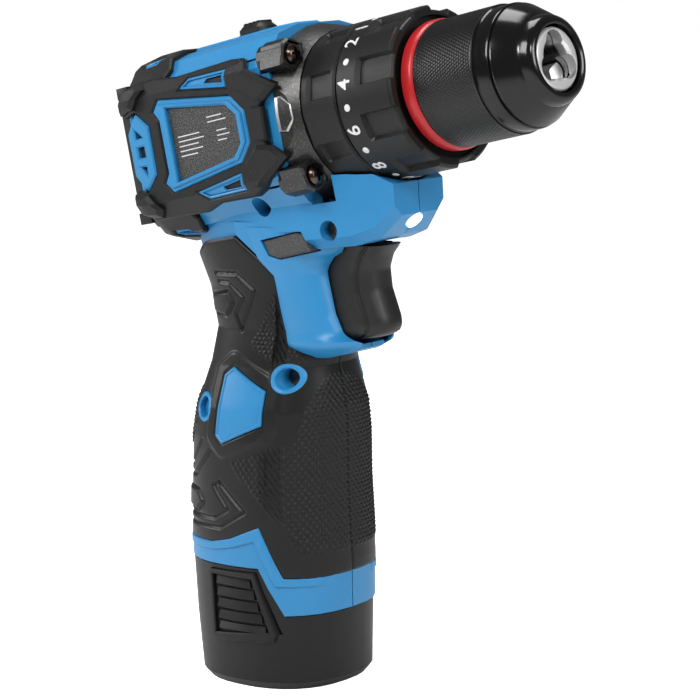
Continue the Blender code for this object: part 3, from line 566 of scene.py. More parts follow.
def plate(name: str, outline: Outline, height: float, chamfer: float, mapping: Mapping,
          holes: Sequence[Outline] = (), base: float = -0.4, cuts_u: Sequence[float] = (),
          cuts_v: Sequence[float] = ()) -> bpy.types.Mesh:
    """A flat piece with chamfered edges, laid onto a surface.

    Args:
        name: Mesh name.
        outline: Closed outline in the surface's own (u, v).
        height: How far it stands above the surface.
        chamfer: Width and depth of the chamfer round its top.
        mapping: Takes (u, v, height) to a world point.
        holes: Closed outlines cut right through.
        base: Height of its underside.
        cuts_u: Values of u where the surface bends, so that the piece follows it.
        cuts_v: The same for v.

    Returns:
        A closed mesh.
    """
    bm = bmesh.new()
    loops = [wound(outline)] + [wound(hole, anticlockwise=False) for hole in holes]
    bottoms, tops = [], []
    for loop in loops:
        levels = ((loop, base), (loop, height - chamfer), (shifted(loop, chamfer), height))
        rings = [[bm.verts.new((u, v, w)) for u, v in ring] for ring, w in levels]
        for low, high in zip(rings, rings[1:]):
            bridge(bm, low, high)
        bottoms.append(rings[0])
        tops.append(rings[-1])
    for level in (bottoms, tops):
        edges = [bm.edges.get(pair) for ring in level for pair in zip(ring, ring[1:] + ring[:1])]
        bmesh.ops.triangle_fill(bm, use_beauty=True, edges=edges)
    for axis, cuts in ((Vector((1, 0, 0)), cuts_u), (Vector((0, 1, 0)), cuts_v)):
        for cut in cuts:
            everything = bm.verts[:] + bm.edges[:] + bm.faces[:]
            bmesh.ops.bisect_plane(bm, geom=everything, plane_co=axis * cut, plane_no=axis, dist=1e-6)
    for vert in bm.verts:
        vert.co = mapping(*vert.co)
    return closed(name, bm)


def lathe(name: str, profile: Outline, steps: int = 128) -> bpy.types.Mesh:
    """A closed profile of (x, radius) turned round the head's axis.

    Args:
        name: Mesh name.
        profile: Closed loop of points.
        steps: Points round.

    Returns:
        A closed mesh.
    """
    bm = bmesh.new()
    turns = [math.tau * i / steps for i in range(steps)]
    rings = [[bm.verts.new(HEAD.round(x, radius, turn)) for turn in turns] for x, radius in profile]
    for low, high in zip(rings, rings[1:] + rings[:1]):
        bridge(bm, low, high)
    return closed(name, bm)


def carved_ring(name: str, stations: Sequence[float], angles: Sequence[float],
                radius: Callable[[float, float], float], inner: Outline) -> bpy.types.Mesh:
    """A ring round the head's axis whose outer radius changes with place.

    Args:
        name: Mesh name.
        stations: Places along the axis, front to rear.
        angles: Angles round it, in degrees, in order.
        radius: Outer radius at (x, angle).
        inner: (x, radius) points of the bore, rear to front.

    Returns:
        A closed mesh.
    """
    rows = [[HEAD.round(x, radius(x, a), math.radians(a)) for a in angles] for x in stations]
    rows += [[HEAD.round(x, r, math.radians(a)) for a in angles] for x, r in inner]
    return closed(name, grid_bmesh(rows, wrap_rows=True))


def subtract(mesh: bpy.types.Mesh, *tools: bpy.types.Mesh) -> bpy.types.Mesh:
    """The mesh with other closed meshes cut out of it.

    Args:
        mesh: Mesh to cut.
        tools: Cutting meshes, which are used up.

    Returns:
        The cut mesh.
    """
    work = bpy.data.objects.new("work", mesh)
    bpy.context.scene.collection.objects.link(work)
    helpers = []
    for tool in tools:
        helper = bpy.data.objects.new("tool", tool)
        bpy.context.scene.collection.objects.link(helper)
        step = work.modifiers.new("cut", "BOOLEAN")
        step.operation = "DIFFERENCE"
        step.solver = "EXACT"
        step.object = helper
        helpers.append(helper)
    bpy.context.view_layer.update()
    graph = bpy.context.evaluated_depsgraph_get()
    result = bpy.data.meshes.new_from_object(work.evaluated_get(graph))
    for used in (work, *helpers):
        bpy.data.objects.remove(used)
    return result


# ---------------------------------------------------------------- motor casing


@dataclass
class MotorCasing:
    """Blue casing with black armour, window frames, vents and rear bumper."""

    half_width: float = 23.5
    flat_z: float = 15.5
    corner: Point = (17.0, 24.0)
    top_half_width: float = 8.5
    half_height: float = 26.2
    rear: float = -104.3
    taper: float = 5.0
    taper_loss: float = 0.06
    slope_lift: float = 1.1
    armour_height: float = 2.3
    armour: Outline = (
        (-103.7, 11.4), (-103.7, 19.2), (-90.4, 20.2), (-80.3, 19.0), (-57.4, 19.7), (-54.0, 19.3),
        (-52.9, 16.6), (-40.4, 10.2), (-46.0, 6.2), (-47.0, 4.8), (-47.2, -6.2), (-40.2, -10.6),
        (-43.8, -12.4), (-53.4, -18.4), (-57.4, -19.6), (-73.0, -19.2), (-79.8, -20.8), (-98.4, -20.6),
        (-103.7, -18.6), (-103.7, -11.2), (-98.1, -12.0), (-92.7, -7.3), (-92.5, 7.0), (-97.8, 11.8),
    )
    window: Outline = field(default_factory=lambda: mirrored(
        ((-53.2, 4.5), (-58.0, 9.7), (-87.4, 13.7), (-90.4, 10.4), (-88.4, 7.6))))
    rating_plate: Outline = field(default_factory=lambda: mirrored(
        ((-56.8, 4.0), (-60.4, 7.6), (-84.2, 10.6))))
    vent: Outline = ((-74.4, 17.6), (-77.8, 14.8), (-58.8, 12.1), (-58.8, 17.4))
    vent_slot: Outline = ((-67.0, 16.0), (-67.9, 14.9), (-60.6, 13.9), (-60.6, 16.0))
    rear_vent: Outline = (
        (-97.8, 11.2), (-93.2, 6.8), (-93.3, -7.0), (-98.0, -11.4), (-103.4, -6.8), (-103.5, 6.4),
    )
    rear_openings: Sequence[Outline] = (
        ((-99.4, 6.8), (-96.6, 4.2), (-99.4, 4.0)),
        ((-99.5, 1.6), (-96.5, 1.6), (-96.5, -1.6), (-99.5, -1.6)),
        ((-99.4, -4.2), (-96.8, -4.4), (-97.0, -7.2)),
    )
    shoulders: Sequence[Outline] = (
        ((-56.6, 17.6), (-54.3, 18.8), (-51.6, 18.6), (-50.2, 15.7), (-39.0, 9.5), (-45.0, 5.9), (-49.0, 6.7),
         (-54.8, 10.8)),
        ((-45.7, 4.4), (-45.9, -5.2), (-51.1, -4.4), (-49.9, 5.2)),
        ((-44.9, -6.7), (-39.6, -10.7), (-50.3, -17.0), (-52.2, -18.0), (-55.2, -17.3), (-54.5, -13.0),
         (-56.6, -10.3), (-50.6, -5.6)),
    )
    shoulder_rises: Sequence[float] = (1.3, 0.7, 1.3)
    shoulder_chamfers: Sequence[float] = (1.2, 0.5, 1.2)
    rear_lug: Outline = ((-103.6, 12.2), (-103.6, 19.0), (-95.6, 19.8), (-93.2, 17.6), (-97.2, 12.4))
    print_rows: Sequence[tuple[float, float, float]] = (
        (-82.0, 1.6, 9.0), (-82.0, 0.2, 10.5), (-82.0, -1.2, 8.0), (-82.0, -2.6, 9.5), (-82.0, -4.0, 7.0),
        (-69.0, 5.2, 6.0), (-69.0, 3.8, 7.5), (-66.0, 0.9, 4.0), (-66.0, -0.5, 5.0), (-66.0, -1.9, 3.6),
    )
    print_width: float = 0.30
    strap_edge: Outline = (
        (-103.6, 24.0), (-86.4, 24.0), (-84.9, 21.0), (-86.6, 15.0), (-88.4, 9.0), (-89.5, 7.6),
    )
    strap_inset: Outline = (
        (-97.6, 18.6), (-91.8, 18.2), (-89.4, 14.4), (-90.0, 11.6), (-94.0, 11.8), (-97.4, 14.6),
    )
    ridge: Outline = field(default_factory=lambda: mirrored(
        ((-89.0, 5.0), (-86.0, 7.4), (-52.0, 7.4), (-46.5, 4.6))))
    ridge_well: Outline = ((-73.4, 5.0), (-58.4, 5.0), (-58.4, -5.0), (-73.4, -5.0))
    roof_slope: float = 0.26

    def side_y(self, z: float) -> float:
        """Half width of the bare casing at a height.

        Args:
            z: Height in the head frame.

        Returns:
            Half the width there.
        """
        z = abs(z)
        if z <= self.flat_z:
            return self.half_width
        if z <= self.corner[1]:
            share = (z - self.flat_z) / (self.corner[1] - self.flat_z)
            return self.half_width + share * (self.corner[0] - self.half_width)
        share = (z - self.corner[1]) / (self.half_height - self.corner[1])
        return self.corner[0] + min(share, 1.0) * (self.top_half_width - self.corner[0])

    def rear_shrink(self, x: float) -> float:
        """How much the casing's section is scaled at x, less than one only at its rear end."""
        return 1.0 - self.taper_loss * max(0.0, self.rear + self.taper - x) / self.taper

    def on_side(self, side: Side) -> Mapping:
        """The mapping from (x, z, height) to the casing's side.

        Args:
            side: Which side.

        Returns:
            The mapping.
        """
        def mapping(x: float, z: float, height: float) -> Vector:
            """A point above the casing's side; the sloped parts stand a little prouder.

            Args:
                x: Place along the axis.
                z: Height in the head frame.
                height: Distance above the casing.

            Returns:
                The world point.
            """
            shrink = self.rear_shrink(x)
            lean = self.slope_lift if abs(z) > self.flat_z + 0.01 else 1.0
            return HEAD.world(x, side.value * (self.side_y(z) * shrink + height * lean), z * shrink)
        return mapping

    def lay(self, name: str, side: Side, outline: Outline, height: float, chamfer: float, finish: Finish,
            holes: Sequence[Outline] = (), base: float = -0.4,
            stands_for: Sequence[str] = ()) -> bpy.types.Object:
        """Lay one flat piece on a side of the casing.

        Args:
            name: Piece name without its side.
            side: Which side.
            outline: Outline in (x, z).
            height: Height above the casing.
            chamfer: Chamfer round its top.
            finish: Surface finish.
            holes: Openings through it.
            base: Height of its underside.
            stands_for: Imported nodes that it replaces.

        Returns:
            The piece.
        """
        cuts_v = (-self.corner[1], -self.flat_z, self.flat_z, self.corner[1])
        mesh = plate(name, outline, height, chamfer, self.on_side(side), holes, base,
                     cuts_u=(self.rear + self.taper,), cuts_v=cuts_v)
        return piece(f"{name}_{side.word}", mesh, finish, "housing", stands_for, angle=20.0)

    def build(self) -> None:
        """Make the casing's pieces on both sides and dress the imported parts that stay."""
        for node in ("housing_right", "housing_left"):
            dress(node, BLUE, angle=28.0)
        dress("rear_bumper", ARMOUR, angle=24.0, bevel=0.5)
        for side in Side:
            self.build_armour(side)
            self.build_windows(side)
            self.build_vents(side)
        self.build_top()
        self.build_strap(below=False)
        self.build_strap(below=True)

    def build_armour(self, side: Side) -> None:
        """The armour plate of one side, with its raised shoulder and rear lugs.

        Args:
            side: Which side.
        """
        vents = [self.vent, flipped(self.vent)]
        self.lay("side_guard", side, self.armour, self.armour_height, 0.5, ARMOUR,
                 [self.window, *vents], stands_for=[f"side_guard_{side.word}"])
        shapes = zip(self.shoulders, self.shoulder_rises, self.shoulder_chamfers)
        for number, (facet, rise, chamfer) in enumerate(shapes, start=1):
            self.lay(f"guard_shoulder_{number}", side, facet, self.armour_height + rise, chamfer, ARMOUR,
                     base=1.0)
        for word, lug in (("upper", self.rear_lug), ("lower", flipped(self.rear_lug))):
            self.lay(f"guard_lug_{word}", side, lug, self.armour_height + 2.2, 1.1, ARMOUR,
                     base=1.0)

    def build_windows(self, side: Side) -> None:
        """The window frame of one side, in two steps, round its rating plate.

        Args:
            side: Which side.
        """
        outer, step, opening = (inset(self.window, amount) for amount in (0.15, 1.3, 2.6))
        self.lay("window_frame", side, outer, 2.0, 0.35, BLUE, [opening])
        self.lay("window_step", side, step, 2.7, 0.35, BLUE, [inset(self.rating_plate, -0.25)])
        self.lay("rating_plate", side, self.rating_plate, 1.5, 0.15, LABEL,
                 stands_for=[f"rating_plate_{side.word}"])
        self.build_small_print(side)

    def build_vents(self, side: Side) -> None:
        """The two small vents and the rear vent of one side, each with a near-black sheet of painted shade
        showing through its openings.

        Args:
            side: Which side.
        """
        for word, vent, slot in (("upper", self.vent, self.vent_slot),
                                 ("lower", flipped(self.vent), flipped(self.vent_slot))):
            self.lay(f"vent_frame_{word}", side, inset(vent, 0.12), 2.0, 0.25, BLUE,
                     [inset(vent, 0.8)])
            self.lay(f"vent_floor_{word}", side, inset(vent, 0.7), 1.2, 0.1, BLUE, [slot])
            # A near-black plate under the slot: painted shade seen through the vent's opening.
            self.lay(f"vent_slot_{word}", side, inset(slot, -0.1), 0.4, 0.05, PAINTED_SHADE)
        openings = [wound(opening) for opening in self.rear_openings]
        self.lay("rear_vent", side, self.rear_vent, 2.2, 0.5, BLUE, openings)
        # A near-black plate under the rear vent's openings: painted shade inside the vent.
        self.lay("rear_vent_dark", side, inset(self.rear_vent, 0.9), 0.6, 0.1, PAINTED_SHADE)

    def build_small_print(self, side: Side) -> None:
        """Plain pale bars on the rating plate, which stand for small print and hold no letters.

        Args:
            side: Which side.
        """
        for i, (x, z, length) in enumerate(self.print_rows):
            top = z + self.print_width
            bar = ((x, z), (x + length, z), (x + length, top), (x, top))
            self.lay(f"plate_line_{i}", side, bar, 1.56, 0.01, PRINT, base=1.4)

    def round_top(self, below: bool) -> Mapping:
        """The mapping from (x, distance round from the top's middle, height) onto the casing.

        Args:
            below: Go round the bottom in place of the top.

        Returns:
            The mapping.
        """
        bends = ((0.0, self.half_height), (self.top_half_width, self.half_height), self.corner,
                 (self.half_width, self.flat_z), (self.half_width, 0.0))
        runs = [0.0]
        for (ay, az), (by, bz) in zip(bends, bends[1:]):
            runs.append(runs[-1] + math.hypot(by - ay, bz - az))

        def mapping(x: float, run: float, height: float) -> Vector:
            """A point above the casing.

            Args:
                x: Place along the axis.
                run: Distance round the section from its middle line.
                height: Distance above the casing.

            Returns:
                The world point.
            """
            y = float(np.interp(abs(run), runs, [b[0] for b in bends]))
            z = float(np.interp(abs(run), runs, [b[1] for b in bends]))
            size = self.rear_shrink(x) * (1.0 + height / math.hypot(y, z))
            return HEAD.world(x, math.copysign(y, run) * size, (-z if below else z) * size)
        return mapping

    def build_strap(self, below: bool) -> None:
        """Black strap across the rear top or bottom, with a blue inset on each shoulder.

        Args:
            below: The strap runs under the casing.
        """
        word = "lower" if below else "upper"
        insets = [self.strap_inset, flipped(self.strap_inset)]
        bends = (-26.0, -17.3, -8.5, 8.5, 17.3, 26.0)
        mapping = self.round_top(below)
        mesh = plate("strap", mirrored(self.strap_edge), 1.7, 0.5, mapping, insets,
                     cuts_u=(self.rear + self.taper,), cuts_v=bends)
        piece(f"rear_strap_{word}", mesh, ARMOUR, "housing", angle=20.0)
        for number, hole in enumerate(insets, start=1):
            mesh = plate("inset", inset(hole, 0.1), 1.2, 0.3, mapping, [inset(hole, 1.0)], cuts_v=bends)
            piece(f"strap_inset_{word}_{number}", mesh, BLUE, "housing", angle=20.0)

    def build_top(self) -> None:
        """Raised blue ridge along the top, open over the speed slide's slot."""
        def on_top(x: float, y: float, height: float) -> Vector:
            """A point above the casing's roof, which slopes beyond its flat middle."""
            droop = max(0.0, abs(y) - self.top_half_width) * self.roof_slope
            return HEAD.world(x, y, self.half_height - droop + height)
        mesh = plate("top_ridge", self.ridge, 1.1, 0.6, on_top, [self.ridge_well])
        piece("top_ridge", mesh, BLUE, "housing", angle=20.0)


# ---------------------------------------------------------------- handle and grip


@dataclass
class Handle:
    """The handle's form, its rubber with the moulded patterns, and the blue details in it.

    A section is (z, centre x, half length, half width), and the outlines are in the side view's (x, z).
    """

    sections: Sequence[tuple[float, float, float, float]] = (
        (20.5, 0.3, 27.6, 23.2), (37.0, 1.0, 27.8, 23.3), (60.0, 2.0, 26.9, 22.6),
        (74.0, 3.2, 26.6, 22.2), (83.0, 4.4, 25.6, 21.3), (95.5, 6.0, 22.0, 17.8),
        (106.0, 8.0, 21.2, 16.2), (118.0, 8.0, 23.4, 16.6), (128.0, 6.6, 26.4, 17.4),
        (138.0, 6.0, 28.6, 18.2),
    )
    power: float = 2.4
    rubber: float = 1.1
    rows: int = 250
    columns: int = 220
    lift: float = 0.25
    edge_round: float = 0.35
    diamond_across: float = 1.9
    diamond_up: float = 2.5
    diamond_height: float = 0.95
    field_depth: float = 0.55
    groove_width: float = 0.9
    groove_depth: float = 0.75
    pad_height: float = 0.55
    badge_bank: float = 4.0
    lower_edge: Outline = ((-60.0, 43.2), (-6.0, 43.2), (2.0, 44.8), (12.8, 48.8), (19.0, 34.0), (60.0, 33.6))
    upper_edge: Outline = (
        (-60.0, 124.0), (-14.0, 128.0), (-8.0, 131.4), (6.0, 133.6), (14.6, 127.4), (19.3, 122.6),
        (20.2, 113.4), (21.5, 102.4), (24.4, 100.3), (27.1, 98.4), (60.0, 97.0),
    )
    fields: Sequence[Outline] = (
        ((19.6, 118.6), (20.6, 110.0), (21.6, 102.6), (26.4, 97.2), (17.2, 96.6), (8.9, 101.5),
         (14.1, 110.0)),
        ((60.0, 96.0), (28.6, 94.6), (27.4, 90.0), (24.9, 80.2), (23.1, 74.1), (3.0, 67.7), (8.8, 61.1),
         (15.1, 54.4), (19.8, 48.6), (23.4, 41.0), (60.0, 40.0)),
        ((-40.0, 88.0), (-14.6, 88.0), (-12.4, 78.0), (-17.4, 70.6), (-40.0, 70.6)),
    )
    grooves: Sequence[Outline] = (
        ((-4.0, 122.4), (5.5, 122.7), (12.1, 117.9), (5.5, 106.1)),
        ((-3.0, 120.0), (1.6, 119.9), (7.3, 115.7), (3.7, 111.0), (5.5, 106.5)),
        ((-1.5, 61.5), (8.1, 53.3), (-2.2, 47.9), (-30.0, 47.9)),
        ((-1.5, 61.5), (-4.0, 60.4), (1.9, 53.7), (-4.3, 50.6), (-30.0, 50.4)),
        ((-9.3, 73.1), (-16.6, 65.2), (-30.0, 65.0)),
        ((-5.0, 70.6), (-14.0, 62.4), (-30.0, 62.0)),
    )
    pads: Sequence[Outline] = (
        ((-8.0, 115.6), (0.7, 116.8), (2.4, 113.8), (-0.8, 110.2), (-8.0, 110.8)),
        ((-30.0, 58.0), (-12.3, 58.0), (-9.6, 54.8), (-13.1, 52.3), (-30.0, 52.7)),
    )
    badge: Outline = ((3.4, 96.0), (16.6, 89.4), (16.0, 78.9), (0.6, 72.6), (-2.4, 75.4), (-0.4, 93.4))
    collars: Sequence[tuple[float, float]] = ((21.4, 92.6), (-8.4, 83.0))
    collar_radius: float = 4.3
    collar_rise: float = 0.85
    bore_radius: float = 3.0
    well_radius: float = 3.2
    well_depth: float = 5.5
    band_upper: Outline = ((-25.2, 43.4), (-6.0, 43.4), (2.0, 45.0), (12.9, 49.2), (19.2, 34.2), (27.0, 33.8))
    band_lower: Outline = ((-25.2, 41.0), (-5.6, 41.0), (2.8, 42.4), (11.0, 44.8), (16.9, 31.8), (27.0, 31.4))

    def section(self, z: np.ndarray) -> tuple[np.ndarray, np.ndarray, np.ndarray]:
        """Centre, half length and half width at each height."""
        table = np.array(self.sections)
        return tuple(np.interp(z, table[:, 0], table[:, k]) for k in (1, 2, 3))

    def side_y(self, x: float, z: float) -> float:
        """Half width of the handle's surface at a place in the side view.

        Args:
            x: Place along the tool.
            z: Height.

        Returns:
            Half the width there.
        """
        centre, half_x, half_y = (float(v) for v in self.section(np.array(z)))
        share = min(0.9999, abs(x - centre) / half_x)
        return half_y * (1.0 - share ** self.power) ** (1.0 / self.power)

    def on_side(self, side: Side) -> Mapping:
        """The mapping from (x, z, height) to the handle's side.

        Args:
            side: Which side.

        Returns:
            The mapping.
        """
        def mapping(x: float, z: float, height: float) -> Vector:
            """A point above the handle's side."""
            return standing(x, side.value * (self.side_y(x, z) + height), z)
        return mapping

    def rounded(self, value: np.ndarray) -> np.ndarray:
        """A sine or cosine bent so that the section is a squared-off oval."""
        return np.sign(value) * np.abs(value) ** (2.0 / self.power)

    def arc_angles(self) -> tuple[np.ndarray, np.ndarray]:
        """Section angles that space the columns evenly round the middle of the grip.

        Returns:
            The angles, and the arc length at each in millimetres.
        """
        middle_length, middle_width = 26.0, 21.5
        fine = np.linspace(0.0, math.pi, 4000)
        x = middle_length * self.rounded(np.cos(fine))
        y = middle_width * np.abs(self.rounded(np.sin(fine)))
        length = np.concatenate([[0.0], np.cumsum(np.hypot(np.diff(x), np.diff(y)))])
        wanted = np.linspace(0.0, length[-1], self.columns)
        return np.interp(wanted, length, fine), wanted

    def edge_height(self, edge: Outline, angle: np.ndarray) -> np.ndarray:
        """Height at which each column of the skin meets an edge line, found by halving.

        Args:
            edge: The edge line in the side view.
            angle: Section angle of each column.

        Returns:
            The heights.
        """
        corners = np.array(edge)
        low = np.full_like(angle, 20.0)
        high = np.full_like(angle, 138.0)
        for _ in range(40):
            middle = (low + high) / 2.0
            centre, half_x = self.section(middle)[:2]
            x = centre + half_x * self.rounded(np.cos(angle))
            above = middle > np.interp(x, corners[:, 0], corners[:, 1])
            high = np.where(above, middle, high)
            low = np.where(above, low, middle)
        return middle

    def relief(self, x: np.ndarray, z: np.ndarray, arc: np.ndarray) -> np.ndarray:
        """Height of the moulded pattern: diamonds, grooves, pads and the bank round the badge.

        Args:
            x: Place of each point along the tool.
            z: Height of each point.
            arc: Its run round the section.

        Returns:
            The height of each point above the plain rubber.
        """
        across, up = arc / self.diamond_across, z / self.diamond_up
        diamond = np.abs(np.sin(math.pi * (across + up)) * np.sin(math.pi * (across - up)))
        height = np.zeros_like(x)
        for outline in self.fields:
            inside = np.clip(inside_distance(x, z, outline) / 0.8, 0.0, 1.0)
            raised = inside * (0.15 + self.diamond_height * diamond)
            height = np.maximum(height, raised) - inside * self.field_depth
        for line in self.grooves:
            near = np.clip(1.0 - line_distance(x, z, line) / self.groove_width, 0.0, 1.0)
            height -= self.groove_depth * near * near * (3.0 - 2.0 * near)
        for outline in self.pads:
            distance = inside_distance(x, z, outline)
            height += self.pad_height * np.clip(distance / 0.7 + 0.5, 0.0, 1.0)
            height -= self.pad_height * np.clip(1.0 - np.abs(distance + 0.5) / 0.6, 0.0, 1.0)
        rim = inside_distance(x, z, self.badge)
        bank = np.clip((rim + self.badge_bank) / 0.9, 0.0, 1.0) * np.clip((0.4 - rim) / 0.5, 0.0, 1.0)
        return height + self.pad_height * bank

    def skin(self, side: Side) -> bpy.types.Mesh:
        """The rubber over one side of the grip, with its moulded relief and an edge turned inward.

        Args:
            side: Which side.

        Returns:
            The open skin.
        """
        angle, arc = self.arc_angles()
        low = self.edge_height(self.lower_edge, angle)
        high = self.edge_height(self.upper_edge, angle)
        share = np.linspace(0.0, 1.0, self.rows)[:, None]
        z = low[None, :] + (high - low)[None, :] * share
        centre, half_x, half_y = self.section(z)
        x = centre + half_x * self.rounded(np.cos(angle))
        y = half_y * np.abs(self.rounded(np.sin(angle)))
        plain = np.stack([x, y, z], axis=-1)
        normal = np.cross(np.gradient(plain, axis=0), np.gradient(plain, axis=1))
        normal /= np.maximum(np.linalg.norm(normal, axis=-1, keepdims=True), 1e-9)
        outward = np.sign(np.sum(normal * np.stack([x - centre, y, 0 * z], axis=-1), axis=-1, keepdims=True))
        normal *= np.where(outward == 0.0, 1.0, outward)
        rise = self.relief(x, z, np.broadcast_to(arc, x.shape))[..., None]
        edge = np.minimum(np.minimum(share, 1.0 - share) * 60.0, np.minimum(arc, arc[-1] - arc)[None, :])
        round_off = self.edge_round * (1.0 - np.clip(edge / 0.8, 0.0, 1.0)) ** 2
        top = plain + normal * (rise + self.lift - round_off[..., None])
        points = np.pad(top, ((1, 1), (1, 1), (0, 0)), mode="edge")
        inward = np.pad(normal, ((1, 1), (1, 1), (0, 0)), mode="edge")
        border = np.zeros(points.shape[:2], dtype=bool)
        border[[0, -1], :] = True
        border[:, [0, -1]] = True
        points[border] -= inward[border] * self.rubber
        points[..., 1] *= side.value
        return grid_mesh("grip_skin", points * MM)

    def build(self) -> None:
        """Make both grips, the badges and the screw collars."""
        for side in Side:
            skin = self.skin(side)
            tools = [self.post(x, z, self.collar_radius - 0.2, side, 6.0) for x, z in self.collars]
            bm = bmesh.new()
            bm.from_mesh(subtract(skin, *tools))
            loose = [v for v in bm.verts if not v.link_faces]
            bmesh.ops.delete(bm, geom=loose, context="VERTS")
            mesh = closed("grip", bm)
            piece(f"grip_rubber_{side.word}", mesh, RUBBER, "housing",
                  [f"grip_rubber_{side.word}"], angle=60.0)
            self.build_badge(side)
            self.build_band_rim(side)
            for i, (x, z) in enumerate(self.collars):
                self.build_collar(i, x, z, side)

    def post(self, x: float, z: float, radius: float, side: Side, depth: float) -> bpy.types.Mesh:
        """A closed post across the grip's surface, used to cut a hole.

        Args:
            x: Its middle along the tool.
            z: Its middle's height.
            radius: Its radius.
            side: Which side.
            depth: How far below the surface it starts.

        Returns:
            A closed mesh.
        """
        bm = bmesh.new()
        near = self.side_y(x, z) - depth
        rings = [[bm.verts.new(standing(u, side.value * y, v)) for u, v in circle(x, z, radius, 40)]
                 for y in (near, near + 4.0 * depth)]
        return capped("post", bm, rings)

    def build_badge(self, side: Side) -> None:
        """Blue six-sided badge with a sunk field and no mark on it.

        Args:
            side: Which side.
        """
        cuts_u = [self.badge[4][0] + 1.5 * i for i in range(15)]
        cuts_v = [73.5 + 1.5 * i for i in range(16)]
        mapping = self.on_side(side)
        mesh = plate("badge", inset(self.badge, 0.5), 1.1, 0.35, mapping, [inset(self.badge, 1.5)],
                     cuts_u=cuts_u, cuts_v=cuts_v)
        piece(f"badge_rim_{side.word}", mesh, BLUE, "housing", angle=25.0)
        mesh = plate("badge", inset(self.badge, 1.45), 0.75, 0.1, mapping, cuts_u=cuts_u, cuts_v=cuts_v)
        piece(f"badge_field_{side.word}", mesh, BLUE, "housing", angle=25.0)

    def build_band_rim(self, side: Side) -> None:
        """Raised lip of the blue band, just under the rubber's lower edge.

        Args:
            side: Which side.
        """
        outline = [*self.band_upper, *reversed(self.band_lower)]
        mesh = plate("band_rim", outline, 0.55, 0.3, self.on_side(side), base=-1.6,
                     cuts_u=[-24.0 + 1.2 * i for i in range(42)])
        piece(f"band_rim_{side.word}", mesh, BLUE, "housing", angle=35.0)

    def build_collar(self, number: int, x: float, z: float, side: Side) -> None:
        """Blue collar round a sunk screw, its mouth cut to the grip's curved surface, and a near-black disc
        of painted shade at the bottom of its well.

        Args:
            number: The collar's number in piece names.
            x: Its middle along the tool.
            z: Its middle's height.
            side: Which side.
        """
        deep = self.side_y(x, z) - self.well_depth
        bore, outer, soft = self.bore_radius, self.collar_radius, 0.35
        levels = ((bore, None), (bore, 0.5), (bore + soft, self.collar_rise),
                  (outer - soft, self.collar_rise), (outer, 0.5), (outer, None))
        rows = []
        for radius, rise in levels:
            row = []
            for u, v in circle(x, z, radius, 56):
                y = deep if rise is None else self.side_y(u, v) + rise
                row.append(standing(u, side.value * y, v))
            rows.append(row)
        mesh = closed("collar", grid_bmesh(rows, wrap_rows=True))
        piece(f"screw_collar_{number}_{side.word}", mesh, BLUE, "housing")
        # A near-black disc deep in the well: painted shade where the well's bottom lies in shadow.
        bm = bmesh.new()
        rings = [[bm.verts.new(standing(u, side.value * y, v)) for u, v in circle(x, z, self.well_radius)]
                 for y in (deep + 0.3, deep - 0.3)]
        mesh = capped("well", bm, rings)
        piece(f"screw_well_{number}_{side.word}", mesh, PAINTED_SHADE, "housing")


def inside_distance(x: np.ndarray, z: np.ndarray, outline: Outline) -> np.ndarray:
    """Distance to an outline at each point, positive inside it.

    Args:
        x: First place of each point.
        z: Second place of each point.
        outline: Closed outline.

    Returns:
        The distances.
    """
    inside = np.zeros(x.shape, dtype=bool)
    for (ax, az), (bx, bz) in zip(outline, [*outline[1:], outline[0]]):
        crosses = (az > z) != (bz > z)
        slope = (bx - ax) / ((bz - az) if bz != az else 1e-12)
        inside ^= crosses & (x < ax + (z - az) * slope)
    distance = line_distance(x, z, [*outline, outline[0]])
    return np.where(inside, distance, -distance)


def line_distance(x: np.ndarray, z: np.ndarray, line: Outline) -> np.ndarray:
    """Distance from each point to a run of straight lines.

    Args:
        x: First place of each point.
        z: Second place of each point.
        line: The corners of the run.

    Returns:
        The distances.
    """
    best = np.full(x.shape, 1e9)
    for (ax, az), (bx, bz) in zip(line, line[1:]):
        dx, dz = bx - ax, bz - az
        share = np.clip(((x - ax) * dx + (z - az) * dz) / (dx * dx + dz * dz), 0.0, 1.0)
        best = np.minimum(best, np.hypot(x - ax - share * dx, z - az - share * dz))
    return best


# ---------------------------------------------------------------- gear case, rings and chuck


